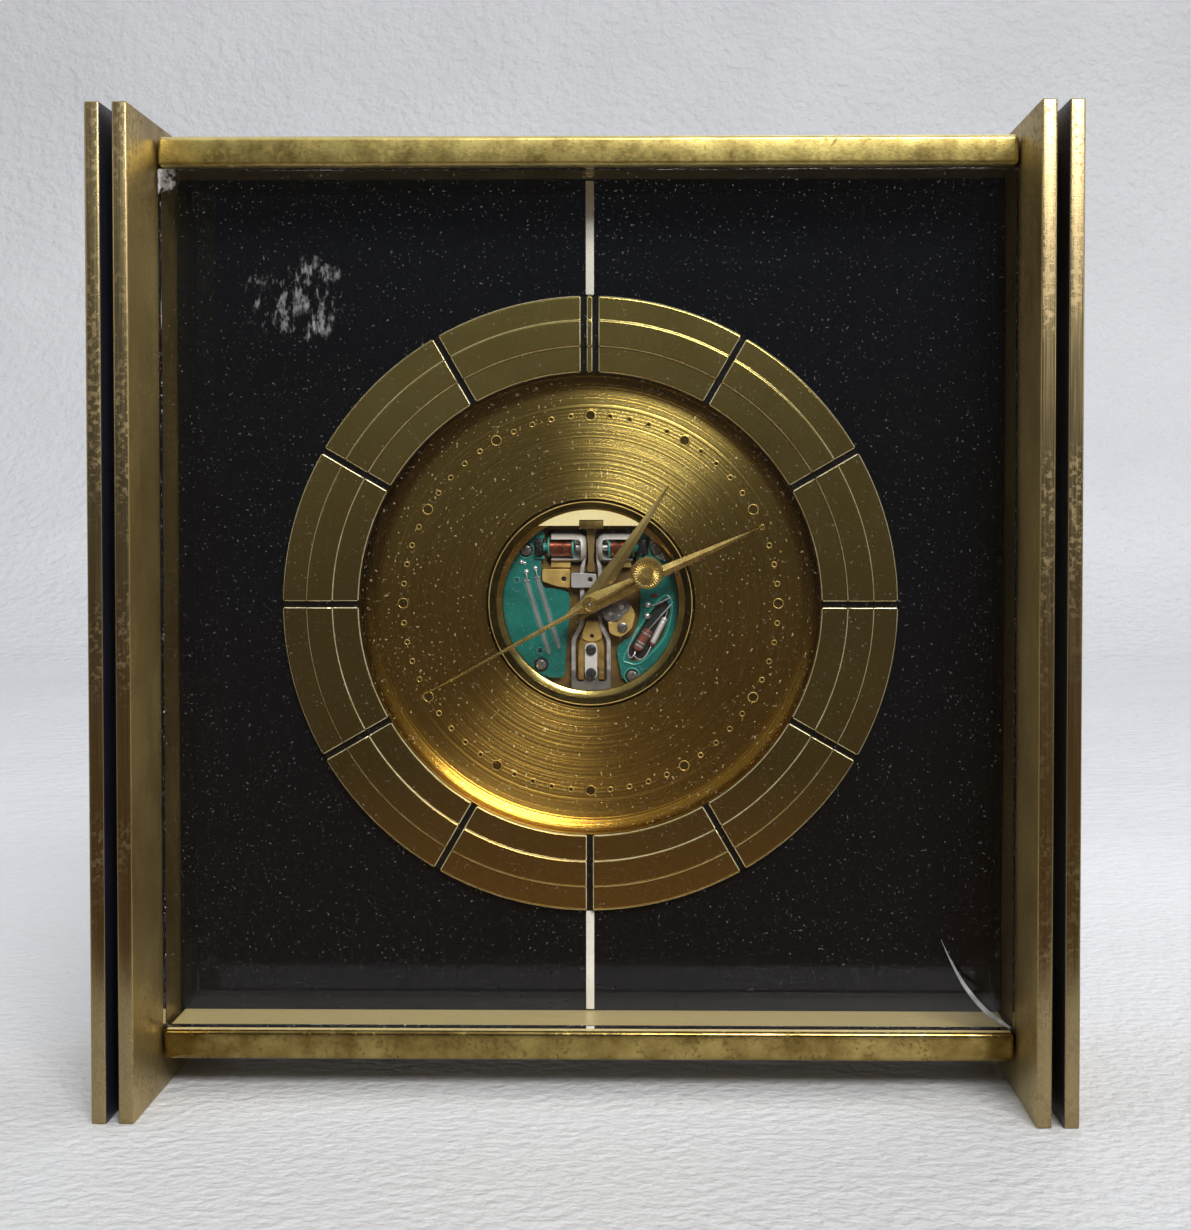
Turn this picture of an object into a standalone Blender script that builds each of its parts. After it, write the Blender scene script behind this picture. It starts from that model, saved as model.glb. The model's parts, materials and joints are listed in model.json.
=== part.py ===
# A square brass mantel clock with an open tuning-fork movement.
# The clock stands upright, faces -Y and rests on the lower ends of its four side plates at z = 0.
# Sizes and places are in metres.

import math

import bmesh
import bpy
from mathutils import Matrix

# Gaps, and how far a cutter runs past the wall that it cuts
SEAT = 0.0003
FINE = 0.00008
OVERRUN = 0.001

# Case frame
CASE_WIDTH = 0.144
CASE_HEIGHT = 0.1487
CASE_DEPTH = 0.058
PLATE_THICKNESS = 0.00225
PLATE_GAP = 0.00175
PLATE_ROUNDING = 0.00025
TOP_BAR_DROP = 0.0021
FOOT_HEIGHT = 0.00515
BAR_THICKNESS = 0.0046
BAR_SETBACK = 0.0161
BAR_REAR_SETBACK = 0.0039
BAR_ROUNDING = 0.0005
GROOVE_DEPTH = 0.0012

# Studs that tie each outer plate, inner plate and bar end together
STUD_RADIUS = 0.0011
STUD_IN_PLATE = 0.0012
STUD_IN_BAR = 0.008
COLLAR_RADIUS = 0.0021
STUD_INSET = 0.0075

# Glass and panels
GLASS_THICKNESS = 0.0025
GLASS_ROUNDING = 0.0002
PANEL_SETBACK = 0.0288
PANEL_THICKNESS = 0.002
REAR_PANEL_INSET = 0.0051
REAR_PANEL_THICKNESS = 0.0016
STRIPE_WIDTH = 0.0013
STRIPE_THICKNESS = 0.0003

# Dial, with heights measured forward from the panel's front face
DIAL_DROP = 0.001075
RING_OUTER = 0.04865
RING_OUTER_BAND = 0.00375
RING_MIDDLE_BAND = 0.0042
RING_INNER_BAND = 0.00403
RING_LOW = 0.0016
RING_HIGH = 0.002
RING_SLOT_WIDTH = 0.00092
RING_SLOT_FLOOR = 0.00045
TWIN_SLOT_OFFSET = 0.00093
DISH_OUTER = 0.0382
DISH_LIP = 0.0017
DISH_COVE = 0.003
DISH_DEPTH = 0.0016
DISH_FLOOR = 0.0012
DIMPLE_INSET = 0.0035
HOUR_DIMPLE_RADIUS = 0.00074
MINUTE_DIMPLE_RADIUS = 0.00035
DIMPLE_SLOPE = 0.7
BEZEL_LIP = 0.0003
BEZEL_LIP_WIDTH = 0.0011
BEZEL_WALL = 0.00155
BEZEL_WALL_FOOT = 0.0023
BEZEL_WALL_DEPTH = 0.0046
BEZEL_FLANGE = 0.0009
BEZEL_FLANGE_THICKNESS = 0.0007

# Movement can
CAN_FLANGE_MARGIN = 0.0038
CAN_FLANGE_THICKNESS = 0.001
CAN_WALL = 0.0022
CAN_LEDGE_WIDTH = 0.0016
CAN_DEPTH = 0.0218
CAN_BACK = 0.0026
WELL_DEPTH = 0.0015

# Movement, with heights measured forward from the main plate's front face
MOVEMENT_DEPTH = 0.0064
MAIN_PLATE_RADIUS = 0.0161
MAIN_PLATE_THICKNESS = 0.0016
BOARD_BASE = 0.0003
BOARD_THICKNESS = 0.0007
BOARD_MARGIN = 0.0016
BOARD_CORNER = 0.0007
COMPONENT_LIFT = 0.00012
FORK_BASE = 0.0003
FORK_THICKNESS = 0.0011
TINE_WIDTH = 0.00065
TINE_OFFSET = 0.00285
TINE_WAIST = 0.00145
TINE_TIP_WIDTH = 0.00035
ELBOW_LOW = -0.0059
ELBOW_HIGH = -0.0034
TIP_BEND_LOW = 0.0056
TIP_BEND_HIGH = 0.0072
TIP_TOP = 0.0103
FORK_FOOT_LOW = -0.0143
FORK_FOOT_HIGH = -0.0128
TONGUE_HALF_WIDTH = 0.00105
TONGUE_TOP = -0.0105
CUP_RADIUS = 0.0023
CUP_WALL = 0.00045
CUP_HEIGHT = 0.0089
CUP_INNER_END = 0.00125
CUP_LENGTH = 0.0054
CUP_END_THICKNESS = 0.0006
CUP_ROOM = 0.0006
CUP_CHAMFER = 0.0005
CUP_AXIS_FORWARD = 0.0009
CUP_WINDOW_START = 0.0009
CUP_WINDOW_LOW = 0.0016
CUP_WINDOW_HIGH = 0.00125
COIL_RADIUS = 0.00135
COIL_FLANGE_RADIUS = 0.0016
COIL_FLANGE = 0.0003
COIL_LENGTH = 0.0039
COIL_GAP = 0.00095
COIL_NECK_RADIUS = 0.00075
TERMINAL_INNER_END = 0.0077
TERMINAL_OUTER_END = 0.0089
TERMINAL_HALF_HEIGHT = 0.0013
TERMINAL_TOP = 0.0022
BRIDGE_TOP = 0.0016
BRIDGE_CORNER = 0.0003
CLAMP_THICKNESS = 0.0005
PAWL_BRIDGE_THICKNESS = 0.0005

# Screws of the movement
SCREW_SHANK = 0.0004
SCREW_HEAD_HEIGHT = 0.00045
SCREW_SLOT_DEPTH = 0.0002
BOARD_SCREW_HEAD = 0.00085
CLAMP_SCREW_HEAD = 0.00085
TRAIN_SCREW_HEAD = 0.0008
LEFT_SCREWS = ((-0.0105, 0.0084), (-0.0081, -0.0101))
RIGHT_SCREWS = ((0.0106, 0.0084), (0.0066, -0.0119))
CLAMP_SCREWS = ((0.0, -0.0076), (0.0, -0.0114))
TRAIN_SCREW = (0.0051, -0.0039)

# Motion work and setting stem
MOTION_DISTANCE = 0.0023
CANNON_LEAVES = 12
MINUTE_WHEEL_TEETH = 36
MINUTE_PINION_LEAVES = 10
HOUR_WHEEL_TEETH = 40
SETTING_LEAVES = 12
MINUTE_WHEEL_ANGLE = -18.5
SETTING_ANGLE = -60.0
WHEEL_THICKNESS = 0.00035
MOTION_BASE = 0.00175
TRAIN_PLATE_THICKNESS = 0.00052
SECONDS_ARBOR_RADIUS = 0.00022
CANNON_BORE = 0.0003
CANNON_PIPE = 0.00044
HOUR_PIPE_WALL = 0.00033
STEM_RADIUS = 0.00042
STEM_HEAD_RADIUS = 0.0019
HANDLE_LENGTH = 0.0042
HANDLE_WIRE = 0.00035
HANDLE_ROOM = 0.001

# Going train behind the main plate
SECONDS_WHEEL_TEETH = 64
THIRD_PINION_LEAVES = 8
THIRD_WHEEL_TEETH = 54
INDEX_PINION_LEAVES = 6
MOST_LEAVES = 12
TRAIN_MODULE = 0.00008
THIRD_WHEEL_ANGLE = 40.0
INDEX_WHEEL_ANGLE = 75.0
INDEX_WHEEL_RADIUS = 0.0012
INDEX_WHEEL_THICKNESS = 0.0002
TRAIN_WHEEL_THICKNESS = 0.0004
SECONDS_WHEEL_DROP = 0.0005
THIRD_WHEEL_DROP = 0.0018
INDEX_WHEEL_DROP = 0.0031
TRAIN_DEPTH = 0.004
TRAIN_BRIDGE_THICKNESS = 0.0009
BRIDGE_FOOT_RADIUS = 0.0006
BRIDGE_FEET = ((-0.0036, -0.003), (-0.0036, 0.0016), (0.0053, 0.0039))

# Battery and hatch
CELL_RADIUS = 0.0055
CELL_THICKNESS = 0.0036
CELL_WELL_WALL = 0.0007
HATCH_RADIUS = 0.0064
HATCH_RIM = 0.001
HATCH_DISTANCE = 0.0122
HATCH_ANGLE = 130.0
CONTACT_HEIGHT = 0.0005
CONTACT_RADIUS = 0.0022
COIN_SLOT_WIDTH = 0.0014
COIN_SLOT_DEPTH = 0.0006

# Hands, with heights measured forward from the panel's front face. A gap is from tip to chapter ring.
HOUR_HAND_LEVEL = -0.00075
MINUTE_HAND_LEVEL = 0.00025
SECONDS_HAND_LEVEL = 0.0013
HAND_THICKNESS = 0.00025
HAND_RIDGE = 0.0003
HOUR_HAND_GAP = 0.01427
HOUR_HAND_HALF_WIDTH = 0.0016
MINUTE_HAND_GAP = 0.00627
MINUTE_HAND_HALF_WIDTH = 0.0018
HAND_TAIL = 0.0043
HAND_BOSS = 0.0013
SECONDS_HAND_GAP = 0.00607
SECONDS_TAIL = 0.0104
SECONDS_DISC_RADIUS = 0.00255
SECONDS_DISC_PROUD = 0.0001
SECONDS_BOSS = 0.00105
SECONDS_BOSS_DROP = 0.0003
HOUR_HAND_ANGLE = 33.7
MINUTE_HAND_ANGLE = 65.9
SECONDS_HAND_ANGLE = 241.4

# Facets round a full turn, and in the dish's cove
RING_STEPS = 60
CAN_STEPS = 32
SMALL_STEPS = 16
SCREW_STEPS = 10
HATCH_STEPS = 20
BORE_SIDES = 8
COVE_STEPS = 3
SHARP_DEGREES = 38

# Places worked out from the sizes above
INNER_FACE = CASE_WIDTH / 2 - 2 * PLATE_THICKNESS - PLATE_GAP
BOTTOM_BAR_TOP = FOOT_HEIGHT + BAR_THICKNESS
TOP_BAR_TOP = CASE_HEIGHT - TOP_BAR_DROP
TOP_BAR_UNDERSIDE = TOP_BAR_TOP - BAR_THICKNESS
FRONT = -CASE_DEPTH / 2
BAR_FRONT = FRONT + BAR_SETBACK
BAR_REAR = -FRONT - BAR_REAR_SETBACK
PANEL_FRONT = FRONT + PANEL_SETBACK
REAR_PANEL_FRONT = BAR_REAR - REAR_PANEL_INSET - REAR_PANEL_THICKNESS
DIAL_HEIGHT = (BOTTOM_BAR_TOP + TOP_BAR_UNDERSIDE) / 2 - DIAL_DROP
RING_STEP_OUTER = RING_OUTER - RING_OUTER_BAND
RING_STEP_INNER = RING_STEP_OUTER - RING_MIDDLE_BAND
RING_INNER = RING_STEP_INNER - RING_INNER_BAND
DISH_LIP_INNER = DISH_OUTER - DISH_LIP
DISH_FLAT_OUTER = DISH_LIP_INNER - DISH_COVE
DISH_BACK = -DISH_DEPTH - DISH_FLOOR
DIMPLE_CIRCLE = DISH_FLAT_OUTER - DIMPLE_INSET
CAN_FLANGE = DISH_OUTER + CAN_FLANGE_MARGIN
CAN_BORE = MAIN_PLATE_RADIUS + SEAT
CAN_RADIUS = CAN_BORE + CAN_WALL
CAN_REAR_BORE = CAN_BORE - CAN_LEDGE_WIDTH
BEZEL_OUTER = CAN_BORE
DISH_HOLE = BEZEL_OUTER + SEAT
BEZEL_LIP_INNER = BEZEL_OUTER - BEZEL_LIP_WIDTH
BEZEL_WALL_TOP = BEZEL_OUTER - BEZEL_WALL
BEZEL_WALL_BOTTOM = BEZEL_OUTER - BEZEL_WALL_FOOT
BEZEL_FLANGE_BACK = DISH_BACK - SEAT - BEZEL_FLANGE_THICKNESS
BEZEL_FLANGE_RADIUS = DISH_HOLE + BEZEL_FLANGE
CAN_FACE = DISH_BACK - SEAT
BOARD_RADIUS = MAIN_PLATE_RADIUS - BOARD_MARGIN
CAN_LEDGE = -MOVEMENT_DEPTH - MAIN_PLATE_THICKNESS - SEAT
CAN_INSIDE = -CAN_DEPTH + CAN_BACK
MOTION_MODULE = 2 * MOTION_DISTANCE / (CANNON_LEAVES + MINUTE_WHEEL_TEETH)
HOUR_MODULE = 2 * MOTION_DISTANCE / (MINUTE_PINION_LEAVES + HOUR_WHEEL_TEETH)
HOUR_BORE = CANNON_PIPE + FINE
HOUR_PIPE = HOUR_BORE + HOUR_PIPE_WALL
BOARD_TOP = BOARD_BASE + BOARD_THICKNESS
FORK_TOP = FORK_BASE + FORK_THICKNESS
TINE_TIP_OUTER = CUP_INNER_END - FINE
TINE_TIP_INNER = TINE_TIP_OUTER - TINE_TIP_WIDTH
TERMINAL_LOW = CUP_HEIGHT - TERMINAL_HALF_HEIGHT
TERMINAL_HIGH = CUP_HEIGHT + TERMINAL_HALF_HEIGHT


def turned_from(centre, distance, degrees):
    angle = math.radians(degrees)
    return (centre[0] + distance * math.cos(angle), centre[1] + distance * math.sin(angle))


HUB = (0.0, 0.0)
MINUTE_WHEEL_AT = turned_from(HUB, MOTION_DISTANCE, MINUTE_WHEEL_ANGLE)
STEM_AT = turned_from(
    MINUTE_WHEEL_AT, MOTION_MODULE * (MINUTE_WHEEL_TEETH + SETTING_LEAVES) / 2, SETTING_ANGLE
)
THIRD_WHEEL_AT = turned_from(
    HUB, TRAIN_MODULE * (SECONDS_WHEEL_TEETH + THIRD_PINION_LEAVES) / 2, THIRD_WHEEL_ANGLE
)
INDEX_WHEEL_AT = turned_from(
    THIRD_WHEEL_AT, TRAIN_MODULE * (THIRD_WHEEL_TEETH + INDEX_PINION_LEAVES) / 2, INDEX_WHEEL_ANGLE
)
HATCH_AT = turned_from(STEM_AT, HATCH_DISTANCE, HATCH_ANGLE)


def clear_scene():
    for obj in list(bpy.data.objects):
        bpy.data.objects.remove(obj, do_unlink=True)


def new_collection(name):
    found = bpy.data.collections.new(name)
    bpy.context.scene.collection.children.link(found)
    return found


clear_scene()
CLOCK = new_collection("mantel_clock")
CUTTERS = new_collection("cutters")


def finish(name, colour, roughness, metallic, alpha=1.0):
    made = bpy.data.materials.new(name)
    made.use_nodes = True
    shader = made.node_tree.nodes["Principled BSDF"]
    shader.inputs["Base Color"].default_value = (*colour, 1.0)
    shader.inputs["Roughness"].default_value = roughness
    shader.inputs["Metallic"].default_value = metallic
    shader.inputs["Alpha"].default_value = alpha
    return made


BRASS = finish("polished_brass", (0.62, 0.45, 0.16), 0.25, 1.0)
BRUSHED = finish("brushed_brass", (0.50, 0.37, 0.15), 0.4, 1.0)
GILT = finish("gilt_brass", (0.80, 0.60, 0.24), 0.3, 1.0)
STEEL = finish("steel", (0.45, 0.44, 0.42), 0.35, 1.0)
NICKEL = finish("nickel", (0.72, 0.70, 0.66), 0.3, 1.0)
BLACK_STEEL = finish("black_steel", (0.05, 0.05, 0.05), 0.4, 0.8)
GLASS = finish("clear_glass", (0.9, 0.95, 0.95), 0.02, 0.0, 0.2)
LACQUER = finish("black_lacquer", (0.01, 0.012, 0.015), 0.1, 0.0)
CREAM = finish("cream_inlay", (0.80, 0.77, 0.68), 0.5, 0.0)
GREEN = finish("green_board", (0.01, 0.16, 0.12), 0.45, 0.0)
COPPER = finish("copper_winding", (0.45, 0.17, 0.10), 0.35, 1.0)
CERAMIC = finish("brown_ceramic", (0.20, 0.07, 0.05), 0.5, 0.0)


def hide_as_cutter(obj):
    for home in list(obj.users_collection):
        home.objects.unlink(obj)
    CUTTERS.objects.link(obj)
    obj.hide_render = True
    obj.display_type = "WIRE"


def cut(target, cutter, operation="DIFFERENCE"):
    hide_as_cutter(cutter)
    step = target.modifiers.new(operation.lower(), "BOOLEAN")
    step.operation = operation
    step.object = cutter
    step.solver = "EXACT"


def join(target, added):
    cut(target, added, "UNION")


def guide(name, parent=None, at=(0, 0, 0), turn=0.0):
    empty = bpy.data.objects.new(name, None)
    CLOCK.objects.link(empty)
    empty.parent = parent
    empty.location = at
    empty.rotation_euler = (turn, 0, 0)
    return empty


# The dial faces -Y. Below these guides, x runs right, y runs up and z runs forward.
DIAL_AXIS = guide("dial_axis", None, (0, PANEL_FRONT, DIAL_HEIGHT), math.pi / 2)
MOVEMENT_AXIS = guide("movement_axis", DIAL_AXIS, (0, 0, -MOVEMENT_DEPTH))


def from_bmesh(name, shape, paint, parent=None, at=(0, 0, 0), smooth=False):
    bmesh.ops.recalc_face_normals(shape, faces=shape.faces)
    mesh = bpy.data.meshes.new(name)
    shape.to_mesh(mesh)
    shape.free()
    if smooth:
        mesh.shade_smooth()
        mesh.set_sharp_from_angle(angle=math.radians(SHARP_DEGREES))
    mesh.materials.append(paint)
    obj = bpy.data.objects.new(name, mesh)
    CLOCK.objects.link(obj)
    obj.parent = parent
    obj.location = at
    return obj


def block(name, x, y, z, paint=BRASS, parent=None, rounding=0.0):
    shape = bmesh.new()
    bmesh.ops.create_cube(shape, size=1.0)
    size = [high - low for low, high in (x, y, z)]
    bmesh.ops.scale(shape, vec=size, verts=shape.verts)
    at = [(low + high) / 2 for low, high in (x, y, z)]
    obj = from_bmesh(name, shape, paint, parent, at)
    if rounding:
        edge = obj.modifiers.new("rounding", "BEVEL")
        edge.width = rounding
        edge.segments = 1
    return obj


def rod(name, radius, z, paint=STEEL, parent=None, at=HUB, sides=24, along="Z"):
    shape = bmesh.new()
    bmesh.ops.create_cone(
        shape,
        cap_ends=True,
        segments=sides,
        radius1=radius,
        radius2=radius,
        depth=z[1] - z[0],
    )
    if along == "X":
        bmesh.ops.rotate(shape, verts=shape.verts, matrix=Matrix.Rotation(math.pi / 2, 3, "Y"))
        place = ((z[0] + z[1]) / 2, *at)
    else:
        place = (*at, (z[0] + z[1]) / 2)
    return from_bmesh(name, shape, paint, parent, place, smooth=True)


# A profile is (radius, z) pairs that run outwards along the front and inwards along the back.
def turned(name, profile, paint=BRASS, parent=None, at=(0, 0, 0), steps=48, ring=True):
    points = [(radius, 0, z) for radius, z in profile]
    edges = [(i, i + 1) for i in range(len(points) - 1)]
    if ring:
        edges.append((len(points) - 1, 0))
    mesh = bpy.data.meshes.new(name)
    mesh.from_pydata(points, edges, [])
    mesh.materials.append(paint)
    obj = bpy.data.objects.new(name, mesh)
    CLOCK.objects.link(obj)
    obj.parent = parent
    obj.location = at
    spin = obj.modifiers.new("turning", "SCREW")
    spin.steps = steps
    spin.render_steps = steps
    spin.use_merge_vertices = True
    spin.merge_threshold = 1e-6
    spin.use_smooth_shade = True
    return obj


def arc(centre, radius, start, end, count):
    turns = [math.radians(start + (end - start) * i / count) for i in range(count + 1)]
    return [(centre[0] + radius * math.cos(t), centre[1] + radius * math.sin(t)) for t in turns]


def hole(centre, radius, sides=16):
    return arc(centre, radius, 0, 360 * (1 - 1 / sides), sides - 1)


# A flat plate between two z levels, whose first outline is its edge and whose others are holes.
def flat_plate(name, outlines, z, paint=BRASS, parent=None, at=HUB, solid=False):
    curve = bpy.data.curves.new(name, "CURVE")
    curve.dimensions = "2D"
    curve.fill_mode = "BOTH"
    curve.extrude = (z[1] - z[0]) / 2
    for outline in outlines:
        spline = curve.splines.new("POLY")
        spline.points.add(len(outline) - 1)
        for point, (x, y) in zip(spline.points, outline):
            point.co = (x, y, 0, 1)
        spline.use_cyclic_u = True
    curve.materials.append(paint)
    obj = bpy.data.objects.new(name, curve)
    CLOCK.objects.link(obj)
    obj.parent = parent
    obj.location = (*at, (z[0] + z[1]) / 2)
    return as_mesh(obj) if solid else obj


def as_mesh(obj):
    bpy.context.view_layer.update()
    graph = bpy.context.evaluated_depsgraph_get()
    mesh = bpy.data.meshes.new_from_object(obj.evaluated_get(graph))
    shape = bmesh.new()
    shape.from_mesh(mesh)
    bmesh.ops.remove_doubles(shape, verts=shape.verts, dist=1e-7)
    bmesh.ops.recalc_face_normals(shape, faces=shape.faces)
    shape.to_mesh(mesh)
    shape.free()
    name = obj.name
    made = bpy.data.objects.new(name + "_mesh", mesh)
    CLOCK.objects.link(made)
    made.parent = obj.parent
    made.matrix_world = obj.matrix_world
    bpy.data.objects.remove(obj, do_unlink=True)
    made.name = name
    return made


# Corners are rounded one by one. An open run keeps its two ends as they are.
def rounded(corners, radius, steps=2, closed=True):
    outline = []
    count = len(corners)
    for i, (x, y) in enumerate(corners):
        if not closed and i in (0, count - 1):
            outline.append((x, y))
            continue
        before, after = corners[i - 1], corners[(i + 1) % count]
        back = math.dist(before, (x, y))
        ahead = math.dist(after, (x, y))
        reach = min(radius, back * 0.45, ahead * 0.45)
        start = (x + (before[0] - x) * reach / back, y + (before[1] - y) * reach / back)
        end = (x + (after[0] - x) * reach / ahead, y + (after[1] - y) * reach / ahead)
        for k in range(steps + 1):
            t = k / steps
            outline.append(
                tuple(
                    (1 - t) ** 2 * a + 2 * t * (1 - t) * b + t * t * c
                    for a, b, c in zip(start, (x, y), end)
                )
            )
    return outline


# Teeth are centred on phase, in degrees. Pinion leaves are wedges that fill a little under half of
# the pitch. A wheel's teeth, a tenth of a millimetre wide, come to a point.
def gear_outline(teeth, module, phase):
    pitch = 360 / teeth
    root = module * (teeth / 2 - 1.25)
    tip = module * (teeth / 2 + 1.0)
    if teeth > MOST_LEAVES:
        corners = ((tip, 0.0), (root, 0.5))
    else:
        corners = ((root, -0.31), (tip, -0.12), (tip, 0.12), (root, 0.31))
    outline = []
    for i in range(teeth):
        middle = phase + i * pitch
        for radius, share in corners:
            angle = math.radians(middle + share * pitch)
            outline.append((radius * math.cos(angle), radius * math.sin(angle)))
    return outline


def opposite_phase(angle, teeth):
    return angle + 180 + 180 / teeth


def make_side_plates():
    for side, sign in (("left", -1), ("right", 1)):
        outer = CASE_WIDTH / 2
        spans = {
            "outer": (outer - PLATE_THICKNESS, outer),
            "inner": (INNER_FACE, INNER_FACE + PLATE_THICKNESS),
        }
        for layer, span in spans.items():
            x = sorted(sign * value for value in span)
            plate = block(
                f"side_plate_{layer}_{side}",
                x,
                (FRONT, -FRONT),
                (0, CASE_HEIGHT),
                BRUSHED,
                rounding=PLATE_ROUNDING,
            )
            for y, z in stud_places():
                if layer == "outer":
                    reach = (span[0] - OVERRUN, span[0] + STUD_IN_PLATE + SEAT)
                else:
                    reach = (span[0] - OVERRUN, span[1] + OVERRUN)
                cutter = rod(
                    "stud_hole",
                    STUD_RADIUS + FINE,
                    sorted(sign * value for value in reach),
                    at=(y, z),
                    sides=BORE_SIDES,
                    along="X",
                )
                cut(plate, cutter)


def stud_places():
    heights = (FOOT_HEIGHT + BAR_THICKNESS / 2, TOP_BAR_TOP - BAR_THICKNESS / 2)
    depths = (BAR_FRONT + STUD_INSET, BAR_REAR - STUD_INSET)
    return [(y, z) for z in heights for y in depths]


def make_studs():
    collar = (INNER_FACE + PLATE_THICKNESS + SEAT, CASE_WIDTH / 2 - PLATE_THICKNESS - SEAT)
    start = INNER_FACE - STUD_IN_BAR
    end = CASE_WIDTH / 2 - PLATE_THICKNESS + STUD_IN_PLATE
    profile = [
        (0, end),
        (STUD_RADIUS, end),
        (STUD_RADIUS, collar[1]),
        (COLLAR_RADIUS, collar[1]),
        (COLLAR_RADIUS, collar[0]),
        (STUD_RADIUS, collar[0]),
        (STUD_RADIUS, start),
        (0, start),
    ]
    names = ("bottom_front", "bottom_rear", "top_front", "top_rear")
    for side, turn in (("left", -math.pi / 2), ("right", math.pi / 2)):
        for name, (y, z) in zip(names, stud_places()):
            stud = turned(
                f"stud_{name}_{side}", profile, BRASS, None, (0, y, z), BORE_SIDES, ring=False
            )
            stud.rotation_euler = (0, turn, 0)


def make_bars():
    x = (-INNER_FACE + SEAT, INNER_FACE - SEAT)
    y = (BAR_FRONT, BAR_REAR)
    heights = {
        "top_bar": (TOP_BAR_UNDERSIDE, TOP_BAR_TOP),
        "bottom_bar": (FOOT_HEIGHT, BOTTOM_BAR_TOP),
    }
    grooves = {
        "top_bar": (TOP_BAR_UNDERSIDE - OVERRUN, TOP_BAR_UNDERSIDE + GROOVE_DEPTH),
        "bottom_bar": (BOTTOM_BAR_TOP - GROOVE_DEPTH, BOTTOM_BAR_TOP + OVERRUN),
    }
    panels = ((PANEL_FRONT, PANEL_THICKNESS), (REAR_PANEL_FRONT, REAR_PANEL_THICKNESS))
    for name, z in heights.items():
        bar = block(name, x, y, z, BRASS, rounding=BAR_ROUNDING)
        whole_width = (x[0] - OVERRUN, x[1] + OVERRUN)
        for front, thickness in panels:
            groove = (front - SEAT, front + thickness + SEAT)
            cut(bar, block("groove", whole_width, groove, grooves[name]))
        stud_ends = (INNER_FACE - STUD_IN_BAR - SEAT, INNER_FACE + OVERRUN)
        for sign in (-1, 1):
            reach = sorted(sign * end for end in stud_ends)
            for at in stud_places():
                if not z[0] < at[1] < z[1]:
                    continue
                bore = rod(
                    "bar_bore", STUD_RADIUS + FINE, reach, at=at, sides=BORE_SIDES, along="X"
                )
                cut(bar, bore)


def make_glass_and_panels():
    x = (-INNER_FACE + SEAT, INNER_FACE - SEAT)
    block(
        "front_glass",
        x,
        (BAR_FRONT, BAR_FRONT + GLASS_THICKNESS),
        (BOTTOM_BAR_TOP + SEAT, TOP_BAR_UNDERSIDE - SEAT),
        GLASS,
        rounding=GLASS_ROUNDING,
    )
    in_grooves = (BOTTOM_BAR_TOP - GROOVE_DEPTH + SEAT, TOP_BAR_UNDERSIDE + GROOVE_DEPTH - SEAT)
    sheets = (
        ("dial_panel", PANEL_FRONT, PANEL_THICKNESS, DISH_OUTER, RING_STEPS, LACQUER),
        ("rear_panel", REAR_PANEL_FRONT, REAR_PANEL_THICKNESS, CAN_RADIUS, CAN_STEPS, BLACK_STEEL),
    )
    for name, front, thickness, radius, sides, paint in sheets:
        panel = block(name, x, (front, front + thickness), in_grooves, paint)
        level = PANEL_FRONT - front
        through = (level - thickness - OVERRUN, level + OVERRUN)
        cut(panel, rod(name + "_hole", radius + SEAT, through, parent=DIAL_AXIS, sides=sides))
    spans = {
        "stripe_12": (RING_OUTER + SEAT, TOP_BAR_UNDERSIDE - DIAL_HEIGHT - SEAT),
        "stripe_6": (BOTTOM_BAR_TOP - DIAL_HEIGHT + SEAT, -RING_OUTER - SEAT),
    }
    for name, span in spans.items():
        half = STRIPE_WIDTH / 2
        block(name, (-half, half), span, (FINE, FINE + STRIPE_THICKNESS), CREAM, DIAL_AXIS)


def make_chapter_ring():
    back = SEAT
    profile = [
        (RING_INNER, RING_LOW),
        (RING_STEP_INNER, RING_LOW),
        (RING_STEP_INNER, RING_HIGH),
        (RING_STEP_OUTER, RING_HIGH),
        (RING_STEP_OUTER, RING_LOW),
        (RING_OUTER, RING_LOW),
        (RING_OUTER, back),
        (RING_INNER, back),
    ]
    ring = turned("chapter_ring", profile, BRASS, DIAL_AXIS, steps=RING_STEPS)
    half = RING_SLOT_WIDTH / 2
    reach = (RING_INNER - OVERRUN, RING_OUTER + OVERRUN)
    height = (back + RING_SLOT_FLOOR, RING_HIGH + OVERRUN)
    for hour in range(12):
        offsets = (-TWIN_SLOT_OFFSET, TWIN_SLOT_OFFSET) if hour == 0 else (0.0,)
        for offset in offsets:
            slot = block("ring_slot", (offset - half, offset + half), reach, height)
            pivot = guide(f"slot_pivot_{hour}", DIAL_AXIS)
            pivot.rotation_euler = (0, 0, -math.radians(30 * hour))
            slot.parent = pivot
            cut(ring, slot)


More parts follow.
